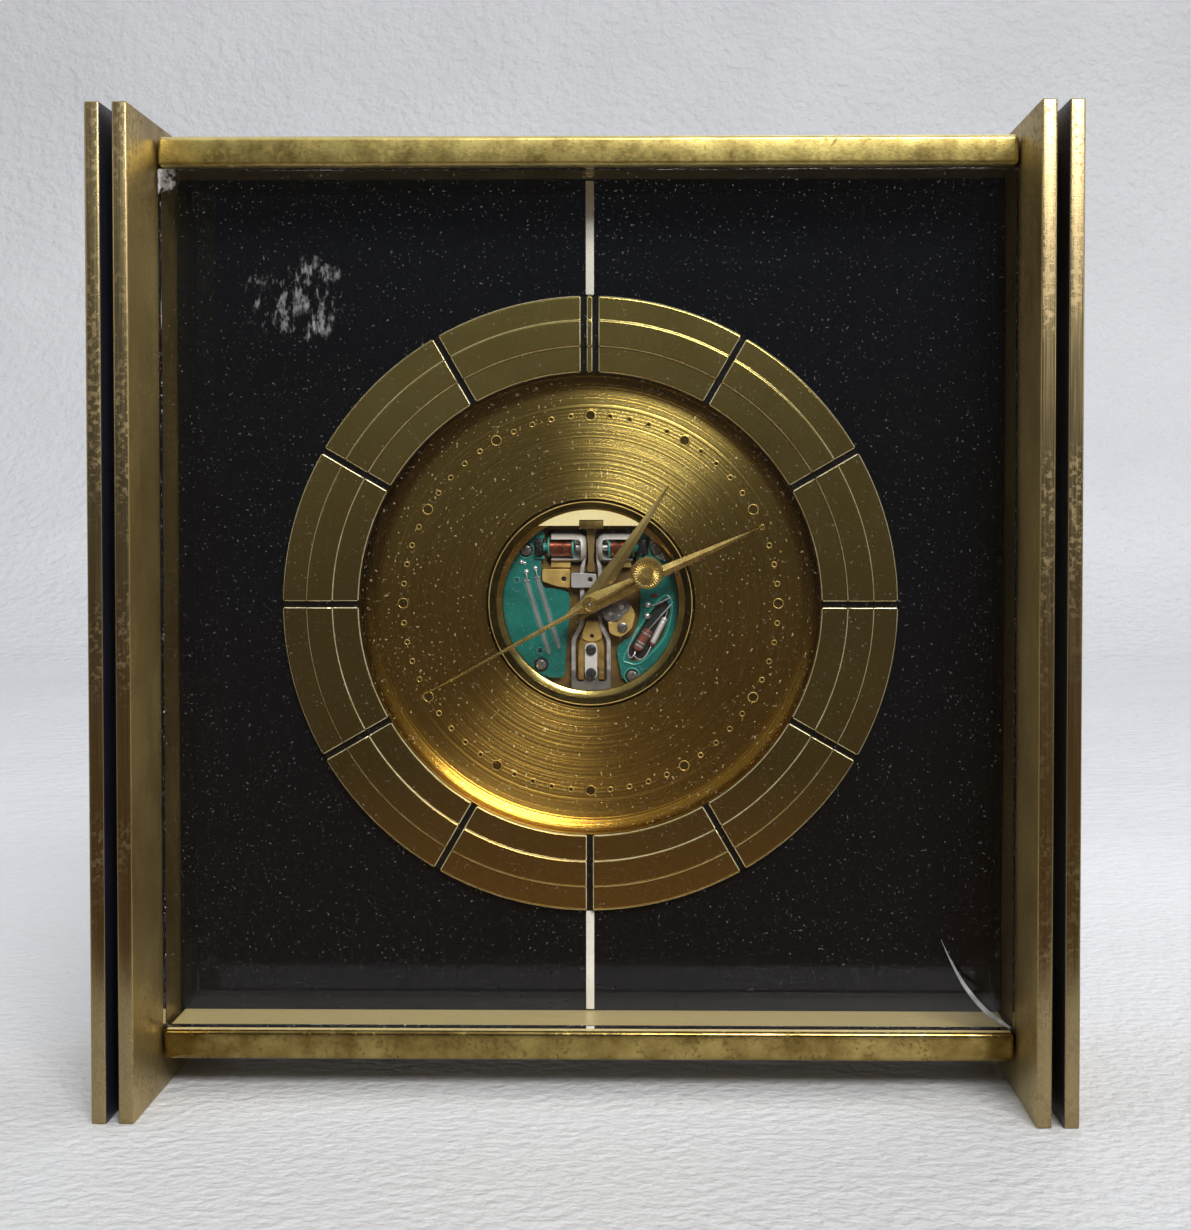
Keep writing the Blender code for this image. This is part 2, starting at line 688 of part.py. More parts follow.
# The dish's cove is a quarter ellipse from its flat floor up to the inside of its lip.
def make_dial_disc():
    cove = []
    for i in range(COVE_STEPS + 1):
        angle = math.pi / 2 * i / COVE_STEPS
        radius = DISH_FLAT_OUTER + (DISH_LIP_INNER - DISH_FLAT_OUTER) * math.sin(angle)
        cove.append((radius, -DISH_DEPTH * math.cos(angle)))
    profile = [(DISH_HOLE, -DISH_DEPTH), *cove]
    profile += [(DISH_OUTER, 0), (DISH_OUTER, DISH_BACK), (DISH_HOLE, DISH_BACK)]
    disc = turned("dial_disc", profile, BRASS, DIAL_AXIS, steps=RING_STEPS)
    shape = bmesh.new()
    for minute in range(60):
        on_hour = minute % 5 == 0
        radius = HOUR_DIMPLE_RADIUS if on_hour else MINUTE_DIMPLE_RADIUS
        x, y = turned_from(HUB, DIMPLE_CIRCLE, 90 - 6 * minute)
        place = Matrix.Translation((x, y, -DISH_DEPTH))
        bmesh.ops.create_cone(
            shape,
            cap_ends=True,
            segments=6 if on_hour else 4,
            radius1=0,
            radius2=2 * radius,
            depth=2 * radius * DIMPLE_SLOPE,
            matrix=place,
        )
    cut(disc, from_bmesh("dimple_drills", shape, BRASS, DIAL_AXIS))


def make_aperture_ring():
    flange_front = DISH_BACK - SEAT
    lip = -DISH_DEPTH + BEZEL_LIP
    profile = [
        (BEZEL_WALL_TOP, lip - 2 * BEZEL_LIP),
        (BEZEL_LIP_INNER, lip - BEZEL_LIP),
        (BEZEL_OUTER - BEZEL_LIP, lip),
        (BEZEL_OUTER, lip - BEZEL_LIP),
        (BEZEL_OUTER, flange_front),
        (BEZEL_FLANGE_RADIUS, flange_front),
        (BEZEL_FLANGE_RADIUS, BEZEL_FLANGE_BACK),
        (CAN_BORE - SEAT, BEZEL_FLANGE_BACK),
        (CAN_BORE - SEAT, -BEZEL_WALL_DEPTH),
        (BEZEL_WALL_BOTTOM, -BEZEL_WALL_DEPTH),
    ]
    turned("aperture_ring", profile, GILT, DIAL_AXIS, steps=CAN_STEPS)


# The can's flange backs the dish and the panel, and a counterbore takes the aperture ring's flange.
def make_can():
    panel_back = -PANEL_THICKNESS - SEAT
    step = DISH_OUTER + SEAT
    bezel_seat = BEZEL_FLANGE_BACK - SEAT
    flange_back = CAN_FACE - CAN_FLANGE_THICKNESS
    profile = [
        (0, CAN_INSIDE),
        (CAN_REAR_BORE, CAN_INSIDE),
        (CAN_REAR_BORE, CAN_LEDGE),
        (CAN_BORE, CAN_LEDGE),
        (CAN_BORE, bezel_seat),
        (BEZEL_FLANGE_RADIUS + SEAT, bezel_seat),
        (BEZEL_FLANGE_RADIUS + SEAT, CAN_FACE),
        (step, CAN_FACE),
        (step, panel_back),
        (CAN_FLANGE, panel_back),
        (CAN_FLANGE, flange_back),
        (CAN_RADIUS, flange_back),
        (CAN_RADIUS, -CAN_DEPTH),
        (0, -CAN_DEPTH),
    ]
    can = turned("movement_can", profile, BRUSHED, DIAL_AXIS, steps=CAN_STEPS, ring=False)
    sleeve_end = CAN_INSIDE + CONTACT_HEIGHT + SEAT + CELL_THICKNESS
    bore = CELL_RADIUS + SEAT
    sleeve = (CAN_INSIDE - OVERRUN, sleeve_end)
    join(can, rod("sleeve", bore + CELL_WELL_WALL, sleeve, BRUSHED, DIAL_AXIS, HATCH_AT, HATCH_STEPS))
    behind = -CAN_DEPTH - OVERRUN
    bores = (
        ("cell_bore", bore, sleeve_end + OVERRUN, HATCH_AT, HATCH_STEPS),
        ("hatch_seat", HATCH_RADIUS + SEAT, -CAN_DEPTH + HATCH_RIM + SEAT, HATCH_AT, HATCH_STEPS),
        ("handle_well", HANDLE_LENGTH + HANDLE_ROOM, -CAN_DEPTH + WELL_DEPTH, STEM_AT, HATCH_STEPS),
        ("stem_bore", STEM_RADIUS + FINE, CAN_INSIDE + OVERRUN, STEM_AT, BORE_SIDES),
    )
    for name, radius, front, at, sides in bores:
        cut(can, rod(name, radius, (behind, front), STEEL, DIAL_AXIS, at, sides))


# Everything from here on is placed from the main plate's front face.
def make_main_plate():
    reach = CUP_INNER_END + CUP_LENGTH + CUP_ROOM
    low = CUP_HEIGHT - CUP_RADIUS - CUP_ROOM
    high = CUP_HEIGHT + CUP_RADIUS + CUP_ROOM
    window = [(-reach, low), (reach, low), (reach, high), (-reach, high)]
    outlines = [
        hole(HUB, MAIN_PLATE_RADIUS, CAN_STEPS),
        rounded(window, CUP_ROOM),
        hole(HUB, CANNON_PIPE + FINE, BORE_SIDES),
        hole(STEM_AT, STEM_RADIUS + FINE, BORE_SIDES),
        hole(THIRD_WHEEL_AT, SECONDS_ARBOR_RADIUS + FINE, BORE_SIDES),
        hole(INDEX_WHEEL_AT, SECONDS_ARBOR_RADIUS + FINE, BORE_SIDES),
    ]
    flat_plate("main_plate", outlines, (-MAIN_PLATE_THICKNESS, 0), GILT, MOVEMENT_AXIS)


# Each board is notched for the terminal block at its coil's outer end.
def make_boards():
    notch_end = TERMINAL_OUTER_END + SEAT
    notch_low = TERMINAL_LOW - SEAT
    notch_high = TERMINAL_HIGH + SEAT
    left = arc(HUB, BOARD_RADIUS, 128, 231, 14)
    left += rounded(
        [
            (-0.0065, -0.0122),
            (-0.0043, -0.0122),
            (-0.0039, -0.0052),
            (-0.00355, -0.0036),
            (-0.0035, 0.0016),
            (-0.0056, 0.0022),
            (-0.0081, 0.0024),
            (-0.0081, notch_low),
            (-notch_end, notch_low),
            (-notch_end, notch_high),
            (-0.0081, notch_high),
            (-0.0081, 0.0112),
        ],
        BOARD_CORNER,
        closed=False,
    )
    right = rounded(
        [
            (0.0081, 0.0112),
            (0.0081, notch_high),
            (notch_end, notch_high),
            (notch_end, notch_low),
            (0.0081, notch_low),
            (0.0079, -0.0017),
            (0.0074, -0.0039),
            (0.0065, -0.0056),
            (0.0046, -0.0066),
            (0.0041, -0.0078),
            (0.0044, -0.0096),
            (0.005, -0.0122),
        ],
        BOARD_CORNER,
        closed=False,
    )
    right += arc(HUB, BOARD_RADIUS, -64, 52, 16)
    recess = [
        (0.0062, -0.0096),
        (0.0056, -0.0083),
        (0.0096, -0.0015),
        (0.012, 0.0009),
        (0.0129, -0.0012),
        (0.0116, -0.0056),
        (0.0083, -0.0094),
    ]
    z = (BOARD_BASE, BOARD_TOP)
    left_holes = [screw_hole(at) for at in LEFT_SCREWS]
    right_holes = [screw_hole(at) for at in RIGHT_SCREWS]
    flat_plate("circuit_board_left", [left, *left_holes], z, GREEN, MOVEMENT_AXIS)
    outlines = [right, rounded(recess, BOARD_CORNER), *right_holes]
    flat_plate("circuit_board_right", outlines, z, GREEN, MOVEMENT_AXIS)


# A cheese-head screw with its driver slot, standing on a surface at height seat.
def make_screw(name, at, seat, head_radius, bottom, paint=STEEL, slot_angle=35.0):
    top = seat + SCREW_HEAD_HEIGHT
    profile = [
        (0, top),
        (head_radius, top),
        (head_radius, seat),
        (SCREW_SHANK, seat),
        (SCREW_SHANK, bottom),
        (0, bottom),
    ]
    screw = turned(name, profile, paint, MOVEMENT_AXIS, (*at, 0), SCREW_STEPS, ring=False)
    half = head_radius * 0.16
    reach = head_radius + OVERRUN
    depth = (top - SCREW_SLOT_DEPTH, top + OVERRUN)
    slot = block(name + "_slot", (-reach, reach), (-half, half), depth)
    slot.parent = screw
    slot.rotation_euler = (0, 0, math.radians(slot_angle))
    cut(screw, slot)


def make_board_screws():
    seat = BOARD_TOP + FINE
    places = {
        "board_screw_upper_left": (LEFT_SCREWS[0], 30),
        "board_screw_lower_left": (LEFT_SCREWS[1], 50),
        "board_screw_upper_right": (RIGHT_SCREWS[0], 110),
        "board_screw_lower_right": (RIGHT_SCREWS[1], 70),
    }
    for name, (at, angle) in places.items():
        make_screw(name, at, seat, BOARD_SCREW_HEAD, FINE, STEEL, angle)


# The fork is one U of flat steel: a foot with a tongue under the clamp, two limbs that draw in past
# the hub, and a narrow tip at the end of each that carries its cup.
def make_fork():
    half = TINE_WIDTH / 2
    lean = TINE_WIDTH / 3
    right = [
        (TINE_OFFSET + half, FORK_FOOT_LOW),
        (TINE_OFFSET + half, ELBOW_LOW),
        (TINE_WAIST + half, ELBOW_HIGH),
        (TINE_WAIST + half, TIP_BEND_LOW),
        (TINE_TIP_OUTER, TIP_BEND_HIGH),
        (TINE_TIP_OUTER, TIP_TOP),
        (TINE_TIP_INNER, TIP_TOP),
        (TINE_TIP_INNER, TIP_BEND_HIGH - lean),
        (TINE_WAIST - half, TIP_BEND_LOW - lean),
        (TINE_WAIST - half, ELBOW_HIGH - lean),
        (TINE_OFFSET - half, ELBOW_LOW - lean),
        (TINE_OFFSET - half, FORK_FOOT_HIGH),
        (TONGUE_HALF_WIDTH, FORK_FOOT_HIGH),
        (TONGUE_HALF_WIDTH, TONGUE_TOP),
    ]
    left = [(-x, y) for x, y in reversed(right)]
    outlines = [rounded(right + left, half, 1), screw_hole(CLAMP_SCREWS[1])]
    flat_plate("tuning_fork", outlines, (FORK_BASE, FORK_TOP), STEEL, MOVEMENT_AXIS)


def screw_hole(at):
    return hole(at, SCREW_SHANK + FINE, BORE_SIDES)


# Each cup is a thimble that opens outwards, with a window in its front that shows the coil.
def make_cups():
    bore = CUP_RADIUS - CUP_WALL
    profile = [
        (0, CUP_END_THICKNESS),
        (bore, CUP_END_THICKNESS),
        (bore, CUP_LENGTH),
        (CUP_RADIUS, CUP_LENGTH),
        (CUP_RADIUS, CUP_CHAMFER),
        (CUP_RADIUS - CUP_CHAMFER, 0),
        (0, 0),
    ]
    window_x = (CUP_INNER_END + CUP_WINDOW_START, CUP_INNER_END + CUP_LENGTH + OVERRUN)
    window_y = (CUP_HEIGHT - CUP_WINDOW_LOW, CUP_HEIGHT + CUP_WINDOW_HIGH)
    window_z = (CUP_AXIS_FORWARD + FINE, CUP_AXIS_FORWARD + CUP_RADIUS + OVERRUN)
    for side, sign in (("left", -1), ("right", 1)):
        at = (sign * CUP_INNER_END, CUP_HEIGHT, CUP_AXIS_FORWARD)
        name = f"magnet_cup_{side}"
        cup = turned(name, profile, NICKEL, MOVEMENT_AXIS, at, SMALL_STEPS, ring=False)
        cup.rotation_euler = (0, sign * math.pi / 2, 0)
        across = sorted(sign * x for x in window_x)
        cut(cup, block(name + "_window", across, window_y, window_z, parent=MOVEMENT_AXIS))


# A coil's wire is as fine as a hair, so its winding is a plain drum between two flanges. Its neck
# runs out to a terminal block that stands on the main plate.
def make_coils():
    first = CUP_END_THICKNESS + COIL_GAP
    last = first + COIL_LENGTH
    neck_end = TERMINAL_INNER_END - CUP_INNER_END + FINE
    spool = [
        (0, neck_end),
        (COIL_NECK_RADIUS, neck_end),
        (COIL_NECK_RADIUS, last + COIL_FLANGE),
        (COIL_FLANGE_RADIUS, last + COIL_FLANGE),
        (COIL_FLANGE_RADIUS, last),
        (COIL_RADIUS, last),
        (COIL_RADIUS, first + COIL_FLANGE),
        (COIL_FLANGE_RADIUS, first + COIL_FLANGE),
        (COIL_FLANGE_RADIUS, first),
        (0, first),
    ]
    for side, sign in (("left", -1), ("right", 1)):
        at = (sign * CUP_INNER_END, CUP_HEIGHT, CUP_AXIS_FORWARD)
        name = f"drive_coil_{side}"
        coil = turned(name, spool, COPPER, MOVEMENT_AXIS, at, SMALL_STEPS, ring=False)
        coil.rotation_euler = (0, sign * math.pi / 2, 0)
        terminal = block(
            name + "_terminal",
            sorted((sign * TERMINAL_INNER_END, sign * TERMINAL_OUTER_END)),
            (TERMINAL_LOW, TERMINAL_HIGH),
            (FINE, TERMINAL_TOP),
            BLACK_STEEL,
            MOVEMENT_AXIS,
        )
        join(coil, terminal)


def mirrored(right):
    return right + [(-x, y) for x, y in reversed(right)]


def make_bridges():
    wide = TINE_TIP_INNER - FINE
    narrow = wide * 0.6
    centre = mirrored([(wide, 0.0049), (narrow, 0.007), (wide, 0.0119), (0.0019, 0.0122), (0.0019, 0.0133)])
    raised = (FINE, BRIDGE_TOP)
    outlines = [rounded(centre, BRIDGE_CORNER, 1)]
    flat_plate("centre_bridge", outlines, raised, BRUSHED, MOVEMENT_AXIS)
    upper = [(-0.0079, 0.0054), (-0.0079, 0.0034), (-0.0056, 0.0026), (-0.0034, 0.0023), (-0.0034, 0.0054)]
    outlines = [rounded(upper, BRIDGE_CORNER), hole((-0.0044, 0.0038), SCREW_SHANK, BORE_SIDES)]
    flat_plate("upper_bridge", outlines, raised, GILT, MOVEMENT_AXIS)


# The steel bridge over the fork's limbs stands on a foot beside them.
def make_pawl_bridge():
    low = BRIDGE_TOP + FINE
    outline = [(-0.0032, 0.0048), (-0.0032, 0.0024), (0.0009, 0.0024), (0.0009, 0.0046), (-0.002, 0.0048)]
    outlines = [rounded(outline, BRIDGE_CORNER), hole((-0.0001, 0.0037), SCREW_SHANK, BORE_SIDES)]
    z = (low, low + PAWL_BRIDGE_THICKNESS)
    bridge = flat_plate("pawl_bridge", outlines, z, STEEL, MOVEMENT_AXIS, solid=True)
    foot = (FINE, low + PAWL_BRIDGE_THICKNESS / 2)
    join(bridge, rod("pawl_bridge_foot", 0.00045, foot, STEEL, MOVEMENT_AXIS, (-0.0025, 0.0036), BORE_SIDES))


# The block lies between the fork's limbs, and the clamp over it holds down the fork's tongue.
def make_fork_mount():
    slot_side = TONGUE_HALF_WIDTH + FINE
    slot_top = TONGUE_TOP + FINE
    bottom = FORK_FOOT_HIGH + SEAT
    right = [
        (slot_side, slot_top),
        (slot_side, bottom),
        (0.0021, bottom),
        (0.0021, -0.0069),
        (0.0015, -0.0052),
        (0.0007, -0.0029),
    ]
    outlines = [mirrored(right), hole((0, -0.0054), SCREW_SHANK, BORE_SIDES), screw_hole(CLAMP_SCREWS[0])]
    flat_plate("fork_block", outlines, (FINE, FORK_TOP), GILT, MOVEMENT_AXIS)
    clamp = mirrored([(0.001, -0.0123), (0.001, -0.0065)])
    outlines = [rounded(clamp, 0.0008), *(screw_hole(at) for at in CLAMP_SCREWS)]
    low = FORK_TOP + FINE
    flat_plate("fork_clamp", outlines, (low, low + CLAMP_THICKNESS), NICKEL, MOVEMENT_AXIS)
    seat = low + CLAMP_THICKNESS + FINE
    for name, at, angle in zip(("upper", "lower"), CLAMP_SCREWS, (15, 80)):
        make_screw(f"fork_screw_{name}", at, seat, CLAMP_SCREW_HEAD, FINE, BLACK_STEEL, angle)


def make_train_plate():
    low = MOTION_BASE + 2 * WHEEL_THICKNESS + FINE
    high = low + TRAIN_PLATE_THICKNESS
    outline = [
        (0.0026, -0.0022),
        (0.0034, -0.0014),
        (0.0064, -0.0002),
        (0.0072, -0.0018),
        (0.0066, -0.0042),
        (0.0048, -0.0056),
        (0.003, -0.0049),
    ]
    stem_hole = hole(STEM_AT, STEM_RADIUS + FINE, BORE_SIDES)
    outlines = [rounded(outline, 0.0005), stem_hole, screw_hole(TRAIN_SCREW)]
    flat_plate("train_plate", outlines, (low, high), GILT, MOVEMENT_AXIS)
    make_screw("train_plate_screw", TRAIN_SCREW, high + FINE, TRAIN_SCREW_HEAD, FINE, STEEL, 20)


# A small part lies on the main plate, in the board's recess.
def component(name, centre, length, radius, degrees, paint, neck):
    ends = length / 2
    height = COMPONENT_LIFT + radius
    profile = [
        (0, ends),
        (radius * neck, ends),
        (radius, ends - radius * 0.35),
        (radius, -ends + radius * 0.35),
        (radius * neck, -ends),
        (0, -ends),
    ]
    body = turned(name, profile, paint, MOVEMENT_AXIS, (*centre, height), SCREW_STEPS, ring=False)
    body.rotation_euler = (math.pi / 2, 0, math.radians(degrees - 90))


def make_electronics():
    component("resistor", (0.0083, -0.0061), 0.004, 0.0008, 58.6, CERAMIC, 0.7)
    component("capacitor", (0.0109, -0.0046), 0.0046, 0.0005, 63.4, NICKEL, 0.85)


def wheel(name, teeth, module, phase, z, bore, at, paint=GILT):
    outlines = [gear_outline(teeth, module, phase), hole(HUB, bore, BORE_SIDES)]
    return flat_plate(name, outlines, z, paint, MOVEMENT_AXIS, at, solid=True)


def pipe(name, inner, outer, z):
    profile = [(inner, z[1]), (outer, z[1]), (outer, z[0]), (inner, z[0])]
    return turned(name, profile, GILT, MOVEMENT_AXIS, steps=SCREW_STEPS)


def hand_height(level):
    return MOVEMENT_DEPTH + level


def make_motion_work():
    thick = WHEEL_THICKNESS
    low = MOTION_BASE
    root = MOTION_MODULE * (CANNON_LEAVES / 2 - 1.25)
    cannon = pipe(
        "cannon_pinion",
        CANNON_BORE,
        CANNON_PIPE,
        (-MAIN_PLATE_THICKNESS + 0.0002, hand_height(MINUTE_HAND_LEVEL) + HAND_THICKNESS + 0.00015),
    )
    leaves = wheel(
        "cannon_leaves",
        CANNON_LEAVES,
        MOTION_MODULE,
        MINUTE_WHEEL_ANGLE,
        (low - 0.0001, low + thick + 0.0001),
        (CANNON_BORE + root) / 2,
        HUB,
    )
    join(cannon, leaves)
    minute_wheel = wheel(
        "minute_wheel",
        MINUTE_WHEEL_TEETH,
        MOTION_MODULE,
        opposite_phase(MINUTE_WHEEL_ANGLE, MINUTE_WHEEL_TEETH),
        (low, low + thick),
        SECONDS_ARBOR_RADIUS,
        MINUTE_WHEEL_AT,
    )
    pinion_top = low + 2 * thick + 0.00035
    pinion = wheel(
        "minute_pinion",
        MINUTE_PINION_LEAVES,
        HOUR_MODULE,
        MINUTE_WHEEL_ANGLE + 180,
        (low + thick - 0.0001, pinion_top),
        SECONDS_ARBOR_RADIUS,
        MINUTE_WHEEL_AT,
        STEEL,
    )
    join(minute_wheel, pinion)
    arbor = rod(
        "minute_wheel_arbor",
        SECONDS_ARBOR_RADIUS + 0.00005,
        (FINE, pinion_top + 0.0001),
        parent=MOVEMENT_AXIS,
        at=MINUTE_WHEEL_AT,
        sides=BORE_SIDES,
    )
    join(minute_wheel, arbor)
    hour = pipe(
        "hour_wheel",
        HOUR_BORE,
        HOUR_PIPE,
        (low + thick + 0.0002, hand_height(HOUR_HAND_LEVEL) + HAND_THICKNESS + 0.0001),
    )
    hour_teeth = wheel(
        "hour_teeth",
        HOUR_WHEEL_TEETH,
        HOUR_MODULE,
        opposite_phase(MINUTE_WHEEL_ANGLE + 180, HOUR_WHEEL_TEETH),
        (low + thick + 0.00025, low + 2 * thick + 0.0002),
        (HOUR_BORE + HOUR_PIPE) / 2,
        HUB,
    )
    join(hour, hour_teeth)


def make_setting():
    back = -CAN_DEPTH + MOVEMENT_DEPTH
    floor = back + WELL_DEPTH
    low = MOTION_BASE
    top = low + 2 * WHEEL_THICKNESS + 0.0005
    head_top = floor - 0.00015
    profile = [
        (0, top),
        (STEM_RADIUS, top),
        (STEM_RADIUS, head_top),
        (STEM_HEAD_RADIUS, head_top),
        (STEM_HEAD_RADIUS, back + 0.0001),
        (0, back + 0.0001),
    ]
    stem = turned("setting_stem", profile, STEEL, MOVEMENT_AXIS, (*STEM_AT, 0), SMALL_STEPS, ring=False)
    leaves = wheel(
        "setting_leaves",
        SETTING_LEAVES,
        MOTION_MODULE,
        opposite_phase(SETTING_ANGLE, SETTING_LEAVES),
        (low, low + WHEEL_THICKNESS),
        STEM_RADIUS * 0.7,
        STEM_AT,
        STEEL,
    )
    join(stem, leaves)
    pin_z = (head_top + back) / 2
    reach = STEM_HEAD_RADIUS + OVERRUN
    pin_hole = rod(
        "handle_pin_hole",
        HANDLE_WIRE + FINE,
        (STEM_AT[0] - reach, STEM_AT[0] + reach),
        parent=MOVEMENT_AXIS,
        at=(STEM_AT[1], pin_z),
        sides=BORE_SIDES,
        along="X",
    )
    cut(stem, pin_hole)
    make_handle(pin_z)


# The handle is one loop of wire: a straight pin through the stem's head and a bow that hangs from it.
def make_handle(pin_z):
    half = STEM_HEAD_RADIUS + FINE + HANDLE_WIRE * 1.4
    bow = [(half, 0), *arc((0, -HANDLE_LENGTH + half), half, 0, -180, 10), (-half, 0)]
    curve = bpy.data.curves.new("setting_handle", "CURVE")
    curve.dimensions = "3D"
    curve.bevel_depth = HANDLE_WIRE
    curve.bevel_resolution = 2
    spline = curve.splines.new("POLY")
    spline.points.add(len(bow) - 1)
    for point, (x, y) in zip(spline.points, bow):
        point.co = (x, y, 0, 1)
    spline.use_cyclic_u = True
    curve.materials.append(NICKEL)
    handle = bpy.data.objects.new("setting_handle", curve)
    CLOCK.objects.link(handle)
    handle.parent = MOVEMENT_AXIS
    handle.location = (*STEM_AT, pin_z)


def train_arbor(name, radius, z, at):
    return rod(name, radius, z, STEEL, MOVEMENT_AXIS, at, BORE_SIDES)


# The index wheel turns the third wheel, and the third wheel turns the seconds arbor.
def make_going_train():
    back = -MAIN_PLATE_THICKNESS
    bridge_top = back - TRAIN_DEPTH
    pivot = bridge_top - TRAIN_BRIDGE_THICKNESS + FINE
    seconds_z = (back - SECONDS_WHEEL_DROP - TRAIN_WHEEL_THICKNESS, back - SECONDS_WHEEL_DROP)
    third_z = (back - THIRD_WHEEL_DROP - TRAIN_WHEEL_THICKNESS, back - THIRD_WHEEL_DROP)
    index_z = (back - INDEX_WHEEL_DROP - INDEX_WHEEL_THICKNESS, back - INDEX_WHEEL_DROP)
    bore = SECONDS_ARBOR_RADIUS * 0.6
    fine = TRAIN_MODULE
    tip = hand_height(SECONDS_HAND_LEVEL) + HAND_THICKNESS + SEAT
    seconds = train_arbor("seconds_arbor", SECONDS_ARBOR_RADIUS, (pivot, tip), HUB)
    phase = THIRD_WHEEL_ANGLE
    teeth = SECONDS_WHEEL_TEETH
    join(seconds, wheel("seconds_wheel", teeth, fine, phase, seconds_z, bore, HUB))
    at = THIRD_WHEEL_AT
    third = train_arbor("third_wheel", SECONDS_ARBOR_RADIUS, (pivot, -SEAT), at)
    phase = INDEX_WHEEL_ANGLE
    join(third, wheel("third_teeth", THIRD_WHEEL_TEETH, fine, phase, third_z, bore, at))
    phase = opposite_phase(THIRD_WHEEL_ANGLE, THIRD_PINION_LEAVES)
    leaves_z = (seconds_z[0] - FINE, seconds_z[1] + FINE)
    join(third, wheel("third_leaves", THIRD_PINION_LEAVES, fine, phase, leaves_z, bore, at, STEEL))
    at = INDEX_WHEEL_AT
    index = train_arbor("index_wheel", SECONDS_ARBOR_RADIUS, (pivot, -SEAT), at)
    phase = opposite_phase(INDEX_WHEEL_ANGLE, INDEX_PINION_LEAVES)
    leaves_z = (third_z[0] - FINE, third_z[1] + FINE)
    leaf_bore = SECONDS_ARBOR_RADIUS * 0.4
    leaves = wheel("index_leaves", INDEX_PINION_LEAVES, fine, phase, leaves_z, leaf_bore, at, STEEL)
    join(index, leaves)
    disc = rod("index_disc", INDEX_WHEEL_RADIUS, index_z, STEEL, MOVEMENT_AXIS, at, HATCH_STEPS)
    join(index, disc)
    make_train_bridge((bridge_top - TRAIN_BRIDGE_THICKNESS, bridge_top), back)


def make_train_bridge(z, back):
    pivots = (HUB, THIRD_WHEEL_AT, INDEX_WHEEL_AT)
    outline = [(-0.0044, -0.0042), (0.0032, -0.0016), (0.0062, 0.0024), (0.0046, 0.0072), (0.0006, 0.006), (-0.0044, 0.0024)]
    holes = [hole(at, SECONDS_ARBOR_RADIUS + FINE, BORE_SIDES) for at in pivots]
    outlines = [rounded(outline, 0.0012), *holes]
    bridge = flat_plate("train_bridge", outlines, z, GILT, MOVEMENT_AXIS, solid=True)
    reach = (z[1] - SEAT, back - SEAT)
    for at in BRIDGE_FEET:
        foot = rod("bridge_foot", BRIDGE_FOOT_RADIUS, reach, GILT, MOVEMENT_AXIS, at, BORE_SIDES)
        join(bridge, foot)


def make_battery():
    back = -CAN_DEPTH
    rim_front = back + 0.0001 + HATCH_RIM
    plug_front = CAN_INSIDE
    contact = plug_front + CONTACT_HEIGHT
    profile = [
        (0, contact),
        (CONTACT_RADIUS * 0.7, contact),
        (CONTACT_RADIUS, plug_front),
        (CELL_RADIUS, plug_front),
        (CELL_RADIUS, rim_front),
        (HATCH_RADIUS, rim_front),
        (HATCH_RADIUS, back + 0.0001),
        (0, back + 0.0001),
    ]
    at = (*HATCH_AT, 0)
    hatch = turned("battery_hatch", profile, NICKEL, DIAL_AXIS, at, HATCH_STEPS, ring=False)
    half = COIN_SLOT_WIDTH / 2
    slot = block(
        "coin_slot",
        (-HATCH_RADIUS * 0.75, HATCH_RADIUS * 0.75),
        (-half, half),
        (back - OVERRUN, back + 0.0001 + COIN_SLOT_DEPTH),
    )
    slot.parent = hatch
    cut(hatch, slot)
    cell = (contact + SEAT, contact + SEAT + CELL_THICKNESS)
    lip = 0.0004
    cell_profile = [
        (0, cell[1]),
        (CELL_RADIUS - lip, cell[1]),
        (CELL_RADIUS, cell[1] - lip),
        (CELL_RADIUS, cell[0] + lip),
        (CELL_RADIUS - 2 * lip, cell[0]),
        (0, cell[0]),
    ]
    turned("battery_cell", cell_profile, NICKEL, DIAL_AXIS, at, HATCH_STEPS, ring=False)


# A hand is a diamond whose top rises to a point over the hub, drawn out along +X.
def lance(name, length, half_width, level, degrees, bore, paint):
    shape = bmesh.new()
    bmesh.ops.create_cone(
        shape, cap_ends=True, segments=4, radius1=1.0, radius2=1.0, depth=HAND_THICKNESS
    )
    top = max(shape.faces, key=lambda face: face.calc_center_median().z)
    raised = bmesh.ops.poke(shape, faces=[top])["verts"]
    for vertex in shape.verts:
        if vertex in raised:
            vertex.co.z += HAND_RIDGE
            continue
        if abs(vertex.co.x) > 0.5:
            vertex.co.x = length if vertex.co.x > 0 else -HAND_TAIL
            vertex.co.y = 0
        else:
            vertex.co.y = math.copysign(half_width, vertex.co.y)
            vertex.co.x = 0
    hand = from_bmesh(name, shape, paint, DIAL_AXIS, (0, 0, level + HAND_THICKNESS / 2))
    hand.rotation_euler = (0, 0, math.radians(90 - degrees))
    spine = (level, level + HAND_THICKNESS + HAND_RIDGE * 0.6)
    through = (level - OVERRUN, level + HAND_THICKNESS + HAND_RIDGE + OVERRUN)
    join(hand, rod(name + "_boss", HAND_BOSS, spine, paint, DIAL_AXIS, sides=SMALL_STEPS))
    cut(hand, rod(name + "_bore", bore, through, paint, DIAL_AXIS, sides=SCREW_STEPS))


